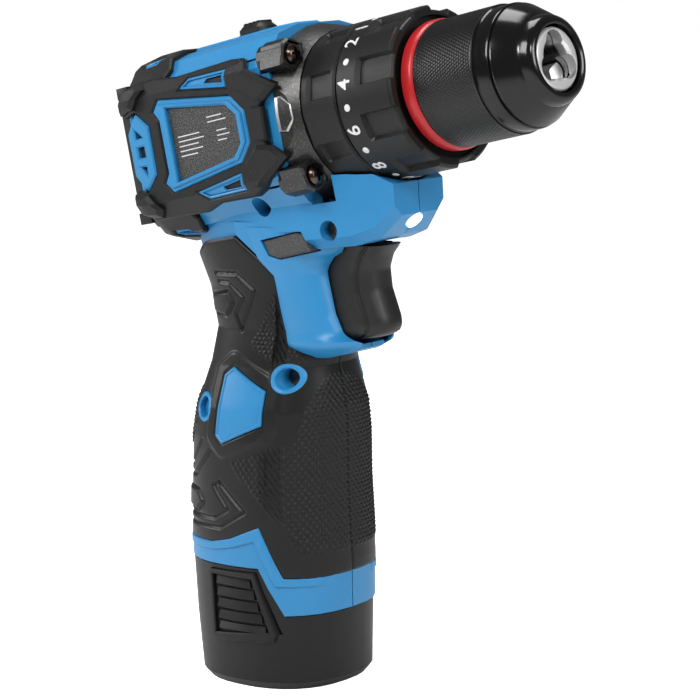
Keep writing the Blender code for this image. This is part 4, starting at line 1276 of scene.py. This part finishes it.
@dataclass
class GearCase:
    """Cast case with square bosses, machined facets and cross-head screws."""

    screw_y: float = 20.2
    screw_z: float = 17.0
    boss_size: float = 4.2
    boss_lean: float = 18.0
    boss_front: float = -35.6
    boss_rear: float = -44.2
    boss_bore: float = 3.3
    screw_profile: Outline = ((-34.3, 0.9), (-34.6, 2.0), (-35.3, 2.8), (-36.3, 3.0), (-37.4, 3.0))
    cross_arm: float = 1.7
    cross_half_width: float = 0.42
    cross_floor: float = -35.6
    flange_radius: float = 24.3
    flange_x: float = -40.0
    flange_slope: float = 0.35
    facet: Outline = ((-41.6, 13.6), (-39.6, 14.6), (-36.6, 8.0), (-36.3, -2.0), (-39.0, -9.2), (-41.6, -8.0))

    def build(self) -> None:
        """Dress the case and add its bosses, facets and screws."""
        dress("gear_housing", CAST, angle=24.0)
        places = [(y, z) for y in (-self.screw_y, self.screw_y) for z in (-self.screw_z, self.screw_z)]
        for number, (y, z) in enumerate(places, start=1):
            self.build_boss(number, y, z)
            self.build_screw(number, y, z)
        for side in Side:
            self.build_facets(side)

    def build_boss(self, number: int, y: float, z: float) -> None:
        """Square block round one screw, open to the front.

        Args:
            number: The screw's number in piece names.
            y: The screw's place across the tool.
            z: The screw's height.
        """
        size = self.boss_size
        lean = math.radians(self.boss_lean) * (1 if y * z > 0 else -1)
        corners = [(size, size * 0.55), (size * 0.55, size), (-size, size), (-size, -size), (size, -size)]
        if y < 0:
            corners = [(-u, v) for u, v in corners]
        if z < 0:
            corners = flipped(corners)
        turned = [(u * math.cos(lean) - v * math.sin(lean), u * math.sin(lean) + v * math.cos(lean))
                  for u, v in corners]

        def mapping(u: float, v: float, height: float) -> Vector:
            """A point in front of the boss's rear face."""
            return HEAD.world(self.boss_rear + height, y + u, z + v)
        mesh = plate("boss", turned, self.boss_front - self.boss_rear, 0.7, mapping,
                     [circle(0, 0, self.boss_bore)], base=0.0)
        piece(f"case_boss_{number}", mesh, CAST, "housing", angle=22.0)

    def build_screw(self, number: int, y: float, z: float) -> None:
        """Domed screw with a cross recess.

        Args:
            number: The screw's number in piece names.
            y: Its place across the tool.
            z: Its height.
        """
        def mapping(u: float, v: float, height: float) -> Vector:
            """A point in front of the recess's floor."""
            return HEAD.world(self.cross_floor + height, y + u, z + v)
        bm = bmesh.new()
        rings = [[bm.verts.new(HEAD.world(x, y + u, z + v)) for u, v in circle(0, 0, radius)]
                 for x, radius in self.screw_profile]
        tools = []
        for u, v in ((self.cross_arm, self.cross_half_width), (self.cross_half_width, self.cross_arm)):
            corners = [(u, v), (-u, v), (-u, -v), (u, -v)]
            tools.append(plate("cross", corners, 3.0, 0.1, mapping, base=0.0))
        mesh = subtract(capped("screw", bm, rings), *tools)
        piece(f"gearbox_screw_{number}", mesh, SCREW, "housing", [f"gearbox_screw_{number}"])

    def build_facets(self, side: Side) -> None:
        """Bright machined facet with a cast middle, on the flange beside the casing.

        Args:
            side: Which side.
        """
        def mapping(x: float, turn: float, height: float) -> Vector:
            """A point above the flange, with its place round the axis in degrees from the side."""
            angle = math.radians(turn) if side is Side.LEFT else math.pi - math.radians(turn)
            return HEAD.round(x, self.flange_radius - self.flange_slope * (x - self.flange_x) + height, angle)
        bends = [-9.0 + 3.0 * i for i in range(8)]
        mesh = plate("facet", self.facet, 0.9, 0.4, mapping, [inset(self.facet, 0.9)], cuts_v=bends)
        piece(f"case_facet_rim_{side.word}", mesh, FACET, "housing", angle=22.0)
        mesh = plate("facet", inset(self.facet, 0.8), 0.5, 0.1, mapping, cuts_v=bends)
        piece(f"case_facet_{side.word}", mesh, CAST, "housing", angle=22.0)


@dataclass
class SettingRings:
    """The mode ring and the numbered torque ring."""

    mode_span: Point = (-34.0, -21.1)
    torque_span: Point = (-20.8, -0.8)
    mode_radius: float = 22.9
    torque_radius: float = 22.6
    bore: float = 19.3
    grips: int = 9
    grip_half: float = 9.0
    grip_wall: float = 1.3
    grip_depth: float = 1.3
    grip_rear: float = -13.4
    hollows: Sequence[tuple[float, float]] = ((73.6, 8.4), (121.5, 6.5))
    hollow_wall: float = 1.2
    hollow_depth: float = 1.1
    number_x: float = -17.1
    number_size: float = 6.2
    number_pitch: float = 16.4
    numbers: Sequence[str] = ("1", "2", "", "4", "", "6", "", "8", "", "10", "", "12", "", "14", "", "16", "",
                              "18", "", "20", "", "")
    first_angle: float = 117.9

    def build(self) -> None:
        """Make both rings and the print on the torque ring."""
        self.build_torque_ring()
        self.build_mode_ring()
        self.build_numbers()

    def build_torque_ring(self) -> None:
        """Torque ring with nine sunk grips, each with sloped walls."""
        rear, front = self.torque_span
        half, wall, top, pitch = self.grip_half, self.grip_wall, self.torque_radius, 360.0 / self.grips
        sunk_rear = self.grip_rear
        steps = (-half - wall, -half, -half / 2, 0.0, half / 2, half, half + wall, half + wall + 6.0,
                 half + wall + 12.0)
        angles = [pitch * i + step for i in range(self.grips) for step in steps]
        stations = (front, front - 0.4, front - 0.9, front - 1.0, -8.0, sunk_rear + 1.0, sunk_rear,
                    sunk_rear - 0.8, rear + 0.7, rear + 0.2, rear)

        def radius(x: float, angle: float) -> float:
            """Outer radius of the ring.

            Args:
                x: Place along the axis.
                angle: Place round it, in degrees.

            Returns:
                The radius there.
            """
            base = np.interp(x, (rear, rear + 0.2, rear + 0.7, front - 0.9, front - 0.4, front),
                             (top - 0.7, top - 0.3, top, top, top - 0.3, top - 0.9))
            away = abs((angle + pitch / 2) % pitch - pitch / 2)
            sunk = np.clip((half + wall - away) / wall, 0.0, 1.0)
            along = np.interp(x, (sunk_rear, sunk_rear + 1.0, front - 1.0, front - 0.4), (0.0, 1.0, 1.0, 1.0))
            return float(base - self.grip_depth * sunk * along)
        inner = ((rear, self.bore), (-4.6, self.bore), (-4.6, 14.4), (-3.2, 14.4), (-3.2, 19.8),
                 (front, 19.8))
        mesh = carved_ring("torque_ring", stations, angles, radius, inner)
        piece("torque_ring", mesh, PLASTIC, "torque_ring", ["torque_ring"], angle=22.0)

    def build_mode_ring(self) -> None:
        """Mode ring with raised bars and sunk fields."""
        rear, front = self.mode_span
        top, wall = self.mode_radius, self.hollow_wall
        hollows = sorted((middle + 90.0 * i, half) for i in range(4) for middle, half in self.hollows)
        angles = []
        for middle, half in hollows:
            steps = (-half - wall, -half, 0.0, half, half + wall, half + wall + 8.0)
            angles += [middle + step for step in steps]
        stations = (front, front - 0.5, front - 1.2, front - 2.0, rear + 3.0, rear + 2.2, rear + 0.5, rear)

        def radius(x: float, angle: float) -> float:
            """Outer radius of the ring.

            Args:
                x: Place along the axis.
                angle: Place round it, in degrees.

            Returns:
                The radius there.
            """
            base = np.interp(x, (rear, rear + 0.5, front - 0.5, front), (top - 0.7, top, top, top - 0.7))
            past = min(abs((angle - middle + 180.0) % 360.0 - 180.0) - half for middle, half in hollows)
            sunk = np.clip(1.0 - past / wall, 0.0, 1.0)
            along = np.interp(x, (rear + 2.2, rear + 3.0, front - 2.0, front - 1.2), (0.0, 1.0, 1.0, 0.0))
            return float(base - self.hollow_depth * sunk * along)
        mesh = carved_ring("mode_ring", stations, angles, radius, ((rear, self.bore), (front, self.bore)))
        piece("mode_ring", mesh, PLASTIC, "mode_ring", ["mode_ring"], angle=22.0)

    def build_numbers(self) -> None:
        """White numbers and dots round the torque ring."""
        for i, word in enumerate(self.numbers):
            middle = math.radians(self.first_angle + i * self.number_pitch)

            def mapping(u: float, v: float, height: float) -> Vector:
                """A point just above the ring, with u round it and v along it."""
                turn = middle + u / self.torque_radius
                return HEAD.round(self.number_x + v, self.torque_radius + 0.02 + height, turn)
            if word:
                mesh = self.number(word, mapping)
            else:
                mesh = plate("dot", circle(0.0, 0.0, 1.0, 24), 0.09, 0.02, mapping)
            piece(f"torque_mark_{i + 1}", mesh, PRINT, "torque_ring", angle=50.0)

    def number(self, word: str, mapping: Mapping) -> bpy.types.Mesh:
        """A printed number.

        Args:
            word: The digits.
            mapping: Takes (u, v, height) in millimetres to the ring's surface.

        Returns:
            A thin raised mesh of the digits.
        """
        curve = bpy.data.curves.new("digits", "FONT")
        curve.body = word
        curve.size = self.number_size
        curve.align_x = "CENTER"
        curve.align_y = "CENTER"
        curve.extrude = 0.09
        curve.offset = 0.07
        curve.resolution_u = 4
        holder = bpy.data.objects.new("digits", curve)
        bpy.context.scene.collection.objects.link(holder)
        bpy.context.view_layer.update()
        graph = bpy.context.evaluated_depsgraph_get()
        mesh = bpy.data.meshes.new_from_object(holder.evaluated_get(graph))
        bpy.data.objects.remove(holder)
        for vert in mesh.vertices:
            vert.co = mapping(-vert.co.x, -vert.co.y, vert.co.z)
        mesh.flip_normals()
        return mesh


@dataclass
class Chuck:
    """Keyless chuck: knurled sleeve with a polished nose, red collar, steel nose ring and jaws."""

    sleeve_radius: float = 17.7
    knurl_span: Point = (3.6, 24.4)
    knurl_depth: float = 0.24
    knurls_round: int = 112
    knurl_slope: float = 0.6
    sleeve_bore: float = 16.3
    nose_profile: Outline = (
        (24.8, 17.4), (25.2, 17.1), (28.9, 17.1), (29.3, 16.9), (29.5, 16.3), (29.8, 16.3), (30.0, 16.6),
        (30.4, 16.7), (35.9, 13.4), (36.6, 12.5), (38.2, 12.1), (39.3, 11.5), (39.9, 10.6), (40.0, 9.7),
        (39.8, 9.2), (36.0, 9.2), (30.0, 14.9), (26.0, 16.0),
    )
    collar_profile: Outline = (
        (-0.6, 14.5), (-0.6, 17.6), (-0.3, 18.0), (0.2, 18.15), (2.4, 18.15), (3.0, 17.95), (3.4, 17.5),
        (3.4, 14.5),
    )

    def build(self) -> None:
        """Make the sleeve and collar, and dress the rest."""
        self.build_sleeve()
        self.build_collar()
        dress("nose_ring", NOSE_STEEL, angle=30.0, bevel=0.25)
        dress("chuck_body", STEEL, angle=30.0)
        dress("chuck_screw", SCREW, angle=30.0)
        dress("chuck_nut", GEAR_STEEL, angle=30.0)
        for i in range(3):
            dress(f"jaw_{i + 1}", NOSE_STEEL, angle=30.0)

    def build_sleeve(self) -> None:
        """The knurled band as real diamonds, and the polished front as a turned shell."""
        low, high = self.knurl_span
        around = self.knurls_round
        pitch = math.tau * self.sleeve_radius / around
        angles = np.arange(around * 4) * math.tau / (around * 4)
        x, a = np.meshgrid(np.linspace(high - 0.6, low + 0.6, 84), angles, indexing="ij")
        turn, run = a * around / math.tau, x / pitch * self.knurl_slope
        weave = np.abs(np.sin(math.pi * (turn + run)) * np.sin(math.pi * (turn - run)))
        radius = self.sleeve_radius - self.knurl_depth + self.knurl_depth * weave
        places = [list(zip(*row)) for row in zip(x, radius, a)]
        front_edge = ((high, self.sleeve_radius - 0.1), (high - 0.3, self.sleeve_radius))
        rear_edge = ((low + 0.3, self.sleeve_radius), (low, 17.3), (low, self.sleeve_bore),
                     (high, self.sleeve_bore))
        before, after = ([[(px, pr, angle) for angle in angles] for px, pr in edge]
                         for edge in (front_edge, rear_edge))
        rows = [[HEAD.round(*place) for place in row] for row in (*before, *places, *after)]
        mesh = closed("knurl", grid_bmesh(rows, wrap_rows=True))
        piece("chuck_sleeve_grip", mesh, KNURL, "sleeve", ["chuck_sleeve"], angle=70.0)
        mesh = lathe("sleeve_nose", ((high + 0.02, 16.2), (high + 0.02, 17.3), *self.nose_profile))
        piece("chuck_sleeve_nose", mesh, CHROME, "sleeve", angle=28.0)

    def build_collar(self) -> None:
        """Red collar with a rounded edge."""
        mesh = lathe("red_collar", self.collar_profile)
        piece("red_collar", mesh, RED, "spindle", ["red_collar"])


# ---------------------------------------------------------------- controls and battery


@dataclass
class Controls:
    """Trigger with its blue surround, direction bar, speed slide and work light.

    front_line, side_line and rear_line give x at each height as (z, x) points.
    """

    half_width: float = 7.2
    back: float = 25.0
    front_line: Outline = (
        (103.9, 45.6), (104.6, 48.0), (105.9, 49.8), (107.4, 50.6), (109.6, 50.4), (113.2, 49.2),
        (117.8, 47.6), (123.6, 47.2), (127.6, 48.8), (130.6, 51.6),
    )
    side_line: Outline = (
        (97.6, 28.5), (99.0, 35.0), (100.2, 39.0), (102.4, 43.6), (103.5, 43.4), (104.2, 40.4),
        (105.7, 37.9), (111.2, 35.3), (117.4, 34.0), (123.0, 32.9), (124.9, 33.7), (127.4, 35.8),
        (129.1, 39.2), (131.0, 40.2), (136.6, 38.6),
    )
    rear_line: Outline = (
        (97.6, 27.0), (98.4, 26.6), (100.3, 23.9), (102.4, 21.2), (113.4, 19.9), (122.6, 19.0), (127.4, 14.4),
        (136.6, 11.0),
    )
    button: Outline = (
        (16.9, 132.5), (30.0, 135.2), (32.4, 134.6), (35.2, 130.1), (22.9, 127.6), (19.1, 128.5),
    )
    button_face: float = 17.2
    button_gap: float = 0.35
    toe_z: float = 103.9
    toe_radius: float = 1.9
    fold_back: float = 5.4
    cheek_wall: float = 2.4
    cheek_span: Point = (98.0, 136.4)
    knob: Outline = ((-71.4, 2.6), (-70.2, 4.4), (-63.4, 4.4), (-62.0, 2.6), (-62.0, -2.6), (-63.4, -4.4),
                     (-70.2, -4.4), (-71.4, -2.6))
    knob_top: float = 30.4
    neck: Outline = ((-71.2, 4.0), (-65.2, 4.0), (-65.2, -4.0), (-71.2, -4.0))

    def build(self, handle: Handle) -> None:
        """Make the trigger, its surround, the button and the knob, and dress the other controls.

        Args:
            handle: The handle, whose surface the surround continues.
        """
        self.build_trigger()
        for side in Side:
            self.build_surround(side, handle)
            self.build_button(side)
        self.build_knob()
        dress("work_light", LENS, angle=35.0)
        dress("switch_body", PLASTIC)
        dress("control_board", BOARD)
        dress("contact_block", COPPER)
        dress("trigger_spring", STEEL, angle=60.0)

    def half_section(self, front: float) -> list[Point]:
        """Half of the trigger's section: side wall, fold and rounded finger pad, back to front.

        Args:
            front: Where the finger pad stands furthest forward.

        Returns:
            The points (x, y).
        """
        w = self.half_width
        fold = front - self.fold_back
        return [
            (self.back, w), (fold - 8.0, w), (fold - 2.2, w - 0.1), (fold - 0.8, w - 0.5), (fold, w - 1.5),
            (fold + 0.7, w - 1.6), (fold + 1.4, w - 1.0), (fold + 2.4, w - 1.1), (front - 1.9, w - 1.9),
            (front - 0.9, w - 3.1), (front - 0.3, w - 4.6), (front, 0.0),
        ]

    def build_trigger(self) -> None:
        """Trigger with a hollowed front, a fold down each side and a rounded toe."""
        table = np.array(self.front_line)
        levels = np.concatenate([[self.toe_z, 104.1, 104.5, 105.0], np.linspace(105.8, 130.7, 26)])
        rows = []
        for z in levels:
            toe = max(0.0, 1.0 - (z - self.toe_z) / self.toe_radius)
            pull = self.toe_radius * (1.0 - math.sqrt(max(0.0, 1.0 - toe * toe)))
            front = float(np.interp(z, table[:, 0], table[:, 1])) - pull
            half = [(x, max(0.0, y - pull) if y else 0.0) for x, y in self.half_section(front)]
            section = half + flipped(half[:-1])[::-1]
            rows.append([standing(x, y, z) for x, y in section])
        mesh = closed("trigger", grid_bmesh(rows, capped_ends=True))
        piece("trigger", mesh, TRIGGER_GREY, "trigger", ["trigger"], angle=40.0)

    def build_surround(self, side: Side, handle: Handle) -> None:
        """Blue cheek between the rubber and the trigger, rolled inward at the trigger's edge.

        Args:
            side: Which side.
            handle: The handle, whose surface it starts from.
        """
        shares = np.linspace(0.0, 1.0, 22)
        front_table, rear_table = np.array(self.side_line), np.array(self.rear_line)
        rows = []
        for z in np.linspace(*self.cheek_span, 48):
            front = float(np.interp(z, front_table[:, 0], front_table[:, 1]))
            rear = float(np.interp(z, rear_table[:, 0], rear_table[:, 1]))
            start = handle.side_y(rear, z) + 0.05
            end = self.half_width + 0.7 if z > self.toe_z - 0.3 else self.half_width - 1.0
            outer = []
            for share in shares:
                fall = (1.0 - share ** 2.6) ** 0.62
                outer.append((rear + (front - rear) * share, end + (start - end) * fall))
            inner = [(x, max(end - 0.05, y - self.cheek_wall)) for x, y in reversed(outer)]
            rows.append([standing(x, side.value * y, z) for x, y in outer + inner])
        bm = grid_bmesh(rows, capped_ends=True)
        bmesh.ops.remove_doubles(bm, verts=bm.verts, dist=0.00001)
        hole = plate("hole", inset(self.button, -self.button_gap), 30.0, 0.0001, self.outward(side), base=5.0)
        mesh = subtract(closed("cheek", bm), hole)
        piece(f"trigger_surround_{side.word}", mesh, BLUE, "housing", angle=38.0)

    def outward(self, side: Side) -> Mapping:
        """The mapping from (x, z, distance from the middle plane) on one side.

        Args:
            side: Which side.

        Returns:
            The mapping.
        """
        def mapping(x: float, z: float, height: float) -> Vector:
            """A point straight out from the middle plane."""
            return standing(x, side.value * height, z)
        return mapping

    def build_button(self, side: Side) -> None:
        """One end of the direction bar, a six-sided block with a fine chamfer.

        Args:
            side: Which side.
        """
        stands_for = ["direction_selector"] if side is Side.RIGHT else []
        mesh = plate("button", self.button, self.button_face, 0.5, self.outward(side), base=0.0)
        piece(f"direction_button_{side.word}", mesh, BUTTON, "direction_selector",
              stands_for, angle=25.0)

    def build_knob(self) -> None:
        """Speed knob: a rounded block with finger ribs across it."""
        mesh = plate("knob", self.knob, self.knob_top, 1.4, HEAD.world, base=27.5)
        piece("speed_knob", mesh, PLASTIC, "speed_selector", ["speed_selector"], angle=40.0)
        mesh = plate("neck", self.neck, 27.9, 0.2, HEAD.world, base=22.6)
        piece("speed_neck", mesh, PLASTIC, "speed_selector", angle=25.0)
        for i in range(4):
            x = -69.6 + 1.7 * i
            rib = ((x, 2.9), (x + 0.9, 2.9), (x + 0.9, -2.9), (x, -2.9))
            mesh = plate("rib", rib, self.knob_top + 0.6, 0.3, HEAD.world, base=self.knob_top - 0.2)
            piece(f"knob_rib_{i + 1}", mesh, PLASTIC, "speed_selector", angle=25.0)


@dataclass
class Battery:
    """Battery foot and its two ribbed latches."""

    outline: Outline = ((-7.5, 35.2), (10.8, 35.6), (16.4, 17.6), (15.4, 15.2), (-5.8, 14.0), (-7.8, 15.4))
    window: Outline = ((-6.0, 33.8), (9.6, 33.6), (14.2, 18.0), (-6.0, 16.2))
    rib_levels: Sequence[tuple[float, float]] = (
        (33.6, 31.1), (30.2, 27.6), (26.7, 24.1), (23.2, 20.6), (19.7, 17.6),
    )
    rib_rear: float = -4.6
    rib_front: Outline = ((18.0, 13.2), (33.6, 8.4))
    rib_fall: float = 0.9

    def build(self, handle: Handle) -> None:
        """Dress the foot and make the latches.

        Args:
            handle: The handle, whose surface the latches lie flush with.
        """
        dress("battery_case", FOOT_BLACK, angle=30.0)
        dress("battery_cap", FOOT_BLACK)
        for i in range(3):
            dress(f"battery_cell_{i + 1}", WRAP, angle=40.0)
        for side in Side:
            self.build_latch(side, handle)

    def build_latch(self, side: Side, handle: Handle) -> None:
        """One latch: a raised frame, a sunk floor in near-black painted shade, and sloping finger ribs.

        Args:
            side: Which side.
            handle: The handle, whose surface it follows.
        """
        mapping = handle.on_side(side)
        body = f"latch_{side.word}"
        cuts = [-7.0 + 1.5 * i for i in range(16)]
        mesh = plate("latch", self.outline, 0.75, 0.35, mapping, [self.window], base=-1.6, cuts_u=cuts)
        piece(f"latch_frame_{side.word}", mesh, FOOT_BLACK, body,
              [f"battery_latch_{side.word}"], angle=22.0)
        # The sunk floor gets the near-black matt finish: painted shade in the latch's recess.
        mesh = plate("latch_floor", inset(self.window, -0.1), -0.9, 0.05, mapping, base=-1.5, cuts_u=cuts)
        piece(f"latch_floor_{side.word}", mesh, PAINTED_SHADE, body)
        front = np.array(self.rib_front)
        for i, (top, bottom) in enumerate(self.rib_levels, start=1):
            def slope(x: float, z: float, height: float) -> Vector:
                """A point above the latch, sinking towards the top of its rib."""
                fall = self.rib_fall * (z - bottom) / (top - bottom) if height > 0.0 else 0.0
                return mapping(x, z, height - fall)
            high, low = (float(np.interp(z, front[:, 0], front[:, 1])) for z in (top, bottom))
            rib = ((self.rib_rear, bottom), (low, bottom), (high, top), (self.rib_rear, top))
            mesh = plate("rib", rib, 0.45, 0.12, slope, base=-1.0, cuts_u=cuts)
            piece(f"latch_rib_{i}_{side.word}", mesh, FOOT_BLACK, body, angle=22.0)


@dataclass
class Inside:
    """The gear train, motor and case screws, which the shells hide."""

    gears: Sequence[str] = (
        "ring_gear_1", "ring_gear_2", "carrier_1", "spindle", "motor_pinion", "planet_1_1", "planet_1_2",
        "planet_1_3", "planet_2_1", "planet_2_2", "planet_2_3",
    )
    steel: Sequence[str] = ("spindle_bearing", "rear_bearing", "rotor", "clutch_spring")

    def build(self) -> None:
        """Dress every inner part."""
        for node in self.gears:
            dress(node, GEAR_STEEL, angle=30.0)
        for node in self.steel:
            dress(node, STEEL, angle=40.0)
        dress("motor_stator", COPPER, angle=35.0)
        dress("cooling_fan", PLASTIC, angle=35.0)
        for i in range(3):
            dress(f"shell_screw_{i + 1}", SCREW, angle=35.0)


# ---------------------------------------------------------------- studio


@dataclass
class Studio:
    """Pale floor, soft lights and the camera, in metres. A light is (name, place, width, watts, aim)."""

    camera_place: tuple[float, float, float] = (0.5370, -0.5409, 0.2122)
    right: tuple[float, float, float] = (0.7360, 0.6748, -0.0551)
    up: tuple[float, float, float] = (-0.0619, 0.1481, 0.9871)
    back: tuple[float, float, float] = (0.6742, -0.7230, 0.1507)
    lens: float = 133.7
    floor_half: float = 4.0
    lights: Sequence[tuple] = (
        ("key", (0.05, -0.75, 0.75), 0.40, 6.8, (0.03, 0.0, 0.12)),
        ("top", (-0.05, 0.15, 0.95), 0.40, 4.0, (0.03, 0.0, 0.12)),
        ("fill", (0.85, 0.10, 0.45), 0.30, 3.0, (0.05, 0.0, 0.12)),
        ("rim", (-0.70, -0.35, 0.40), 0.30, 3.0, (0.0, 0.0, 0.12)),
        ("spark", (0.80, -0.35, 0.70), 0.14, 2.2, (0.03, 0.0, 0.10)),
    )

    def build(self) -> None:
        """Make the camera, floor, lights and sky."""
        self.build_camera()
        self.build_floor()
        for light in self.lights:
            self.build_light(*light)
        self.build_sky()

    def build_sky(self) -> None:
        """An even white sky, dimmer as a light than it looks to the camera."""
        world = bpy.data.worlds.new("studio")
        world.use_nodes = True
        tree = world.node_tree
        background = tree.nodes["Background"]
        background.inputs["Color"].default_value = (1.0, 1.0, 1.0, 1.0)
        seen = tree.nodes.new("ShaderNodeLightPath").outputs["Is Camera Ray"]
        tree.links.new(math_node(tree, "MULTIPLY_ADD", seen, 0.86, 0.14), background.inputs["Strength"])
        bpy.context.scene.world = world
        bpy.context.scene.view_settings.view_transform = "Standard"

    def build_camera(self) -> None:
        """The camera at its place and lens."""
        data = bpy.data.cameras.new("camera")
        data.lens = self.lens
        data.sensor_width = 36.0
        data.clip_start = 0.01
        camera = bpy.data.objects.new("camera", data)
        bpy.context.scene.collection.objects.link(camera)
        turn = Matrix((self.right, self.up, self.back)).transposed()
        camera.matrix_world = Matrix.Translation(self.camera_place) @ turn.to_4x4()
        bpy.context.scene.camera = camera

    def build_floor(self) -> None:
        """A wide pale floor."""
        mesh = bpy.data.meshes.new("floor")
        far = self.floor_half
        corners = [(-far, -far, 0.0), (far, -far, 0.0), (far, far, 0.0), (-far, far, 0.0)]
        mesh.from_pydata(corners, [], [(0, 1, 2, 3)])
        floor = bpy.data.objects.new("floor", mesh)
        bpy.context.scene.collection.objects.link(floor)
        pale = bpy.data.materials.new("pale_floor")
        pale.use_nodes = True
        shader = pale.node_tree.nodes["Principled BSDF"]
        shader.inputs["Base Color"].default_value = (0.90, 0.90, 0.90, 1.0)
        shader.inputs["Roughness"].default_value = 0.9
        shader.inputs["Emission Color"].default_value = (1.0, 1.0, 1.0, 1.0)
        seen = pale.node_tree.nodes.new("ShaderNodeLightPath").outputs["Is Camera Ray"]
        glow = math_node(pale.node_tree, "MULTIPLY_ADD", seen, 0.93, 0.02)
        pale.node_tree.links.new(glow, shader.inputs["Emission Strength"])
        mesh.materials.append(pale)

    def build_light(self, name: str, place: Sequence[float], size: float, power: float,
                    aim: Sequence[float]) -> None:
        """One square soft light.

        Args:
            name: Light name.
            place: Where it hangs, in metres.
            size: Width in metres.
            power: Watts.
            aim: Point that it faces.
        """
        data = bpy.data.lights.new(name, "AREA")
        data.size = size
        data.energy = power
        light = bpy.data.objects.new(name, data)
        bpy.context.scene.collection.objects.link(light)
        light.location = place
        light.rotation_euler = (Vector(aim) - Vector(place)).to_track_quat("-Z", "Y").to_euler()


def main() -> None:
    """Build the tool's looks in order."""
    logging.basicConfig(level=logging.INFO, format="%(name)s: %(message)s")
    handle = Handle()
    Studio().build()
    MotorCasing().build()
    handle.build()
    GearCase().build()
    SettingRings().build()
    Chuck().build()
    Controls().build(handle)
    Battery().build(handle)
    Inside().build()


if __name__ == "__main__":
    main()
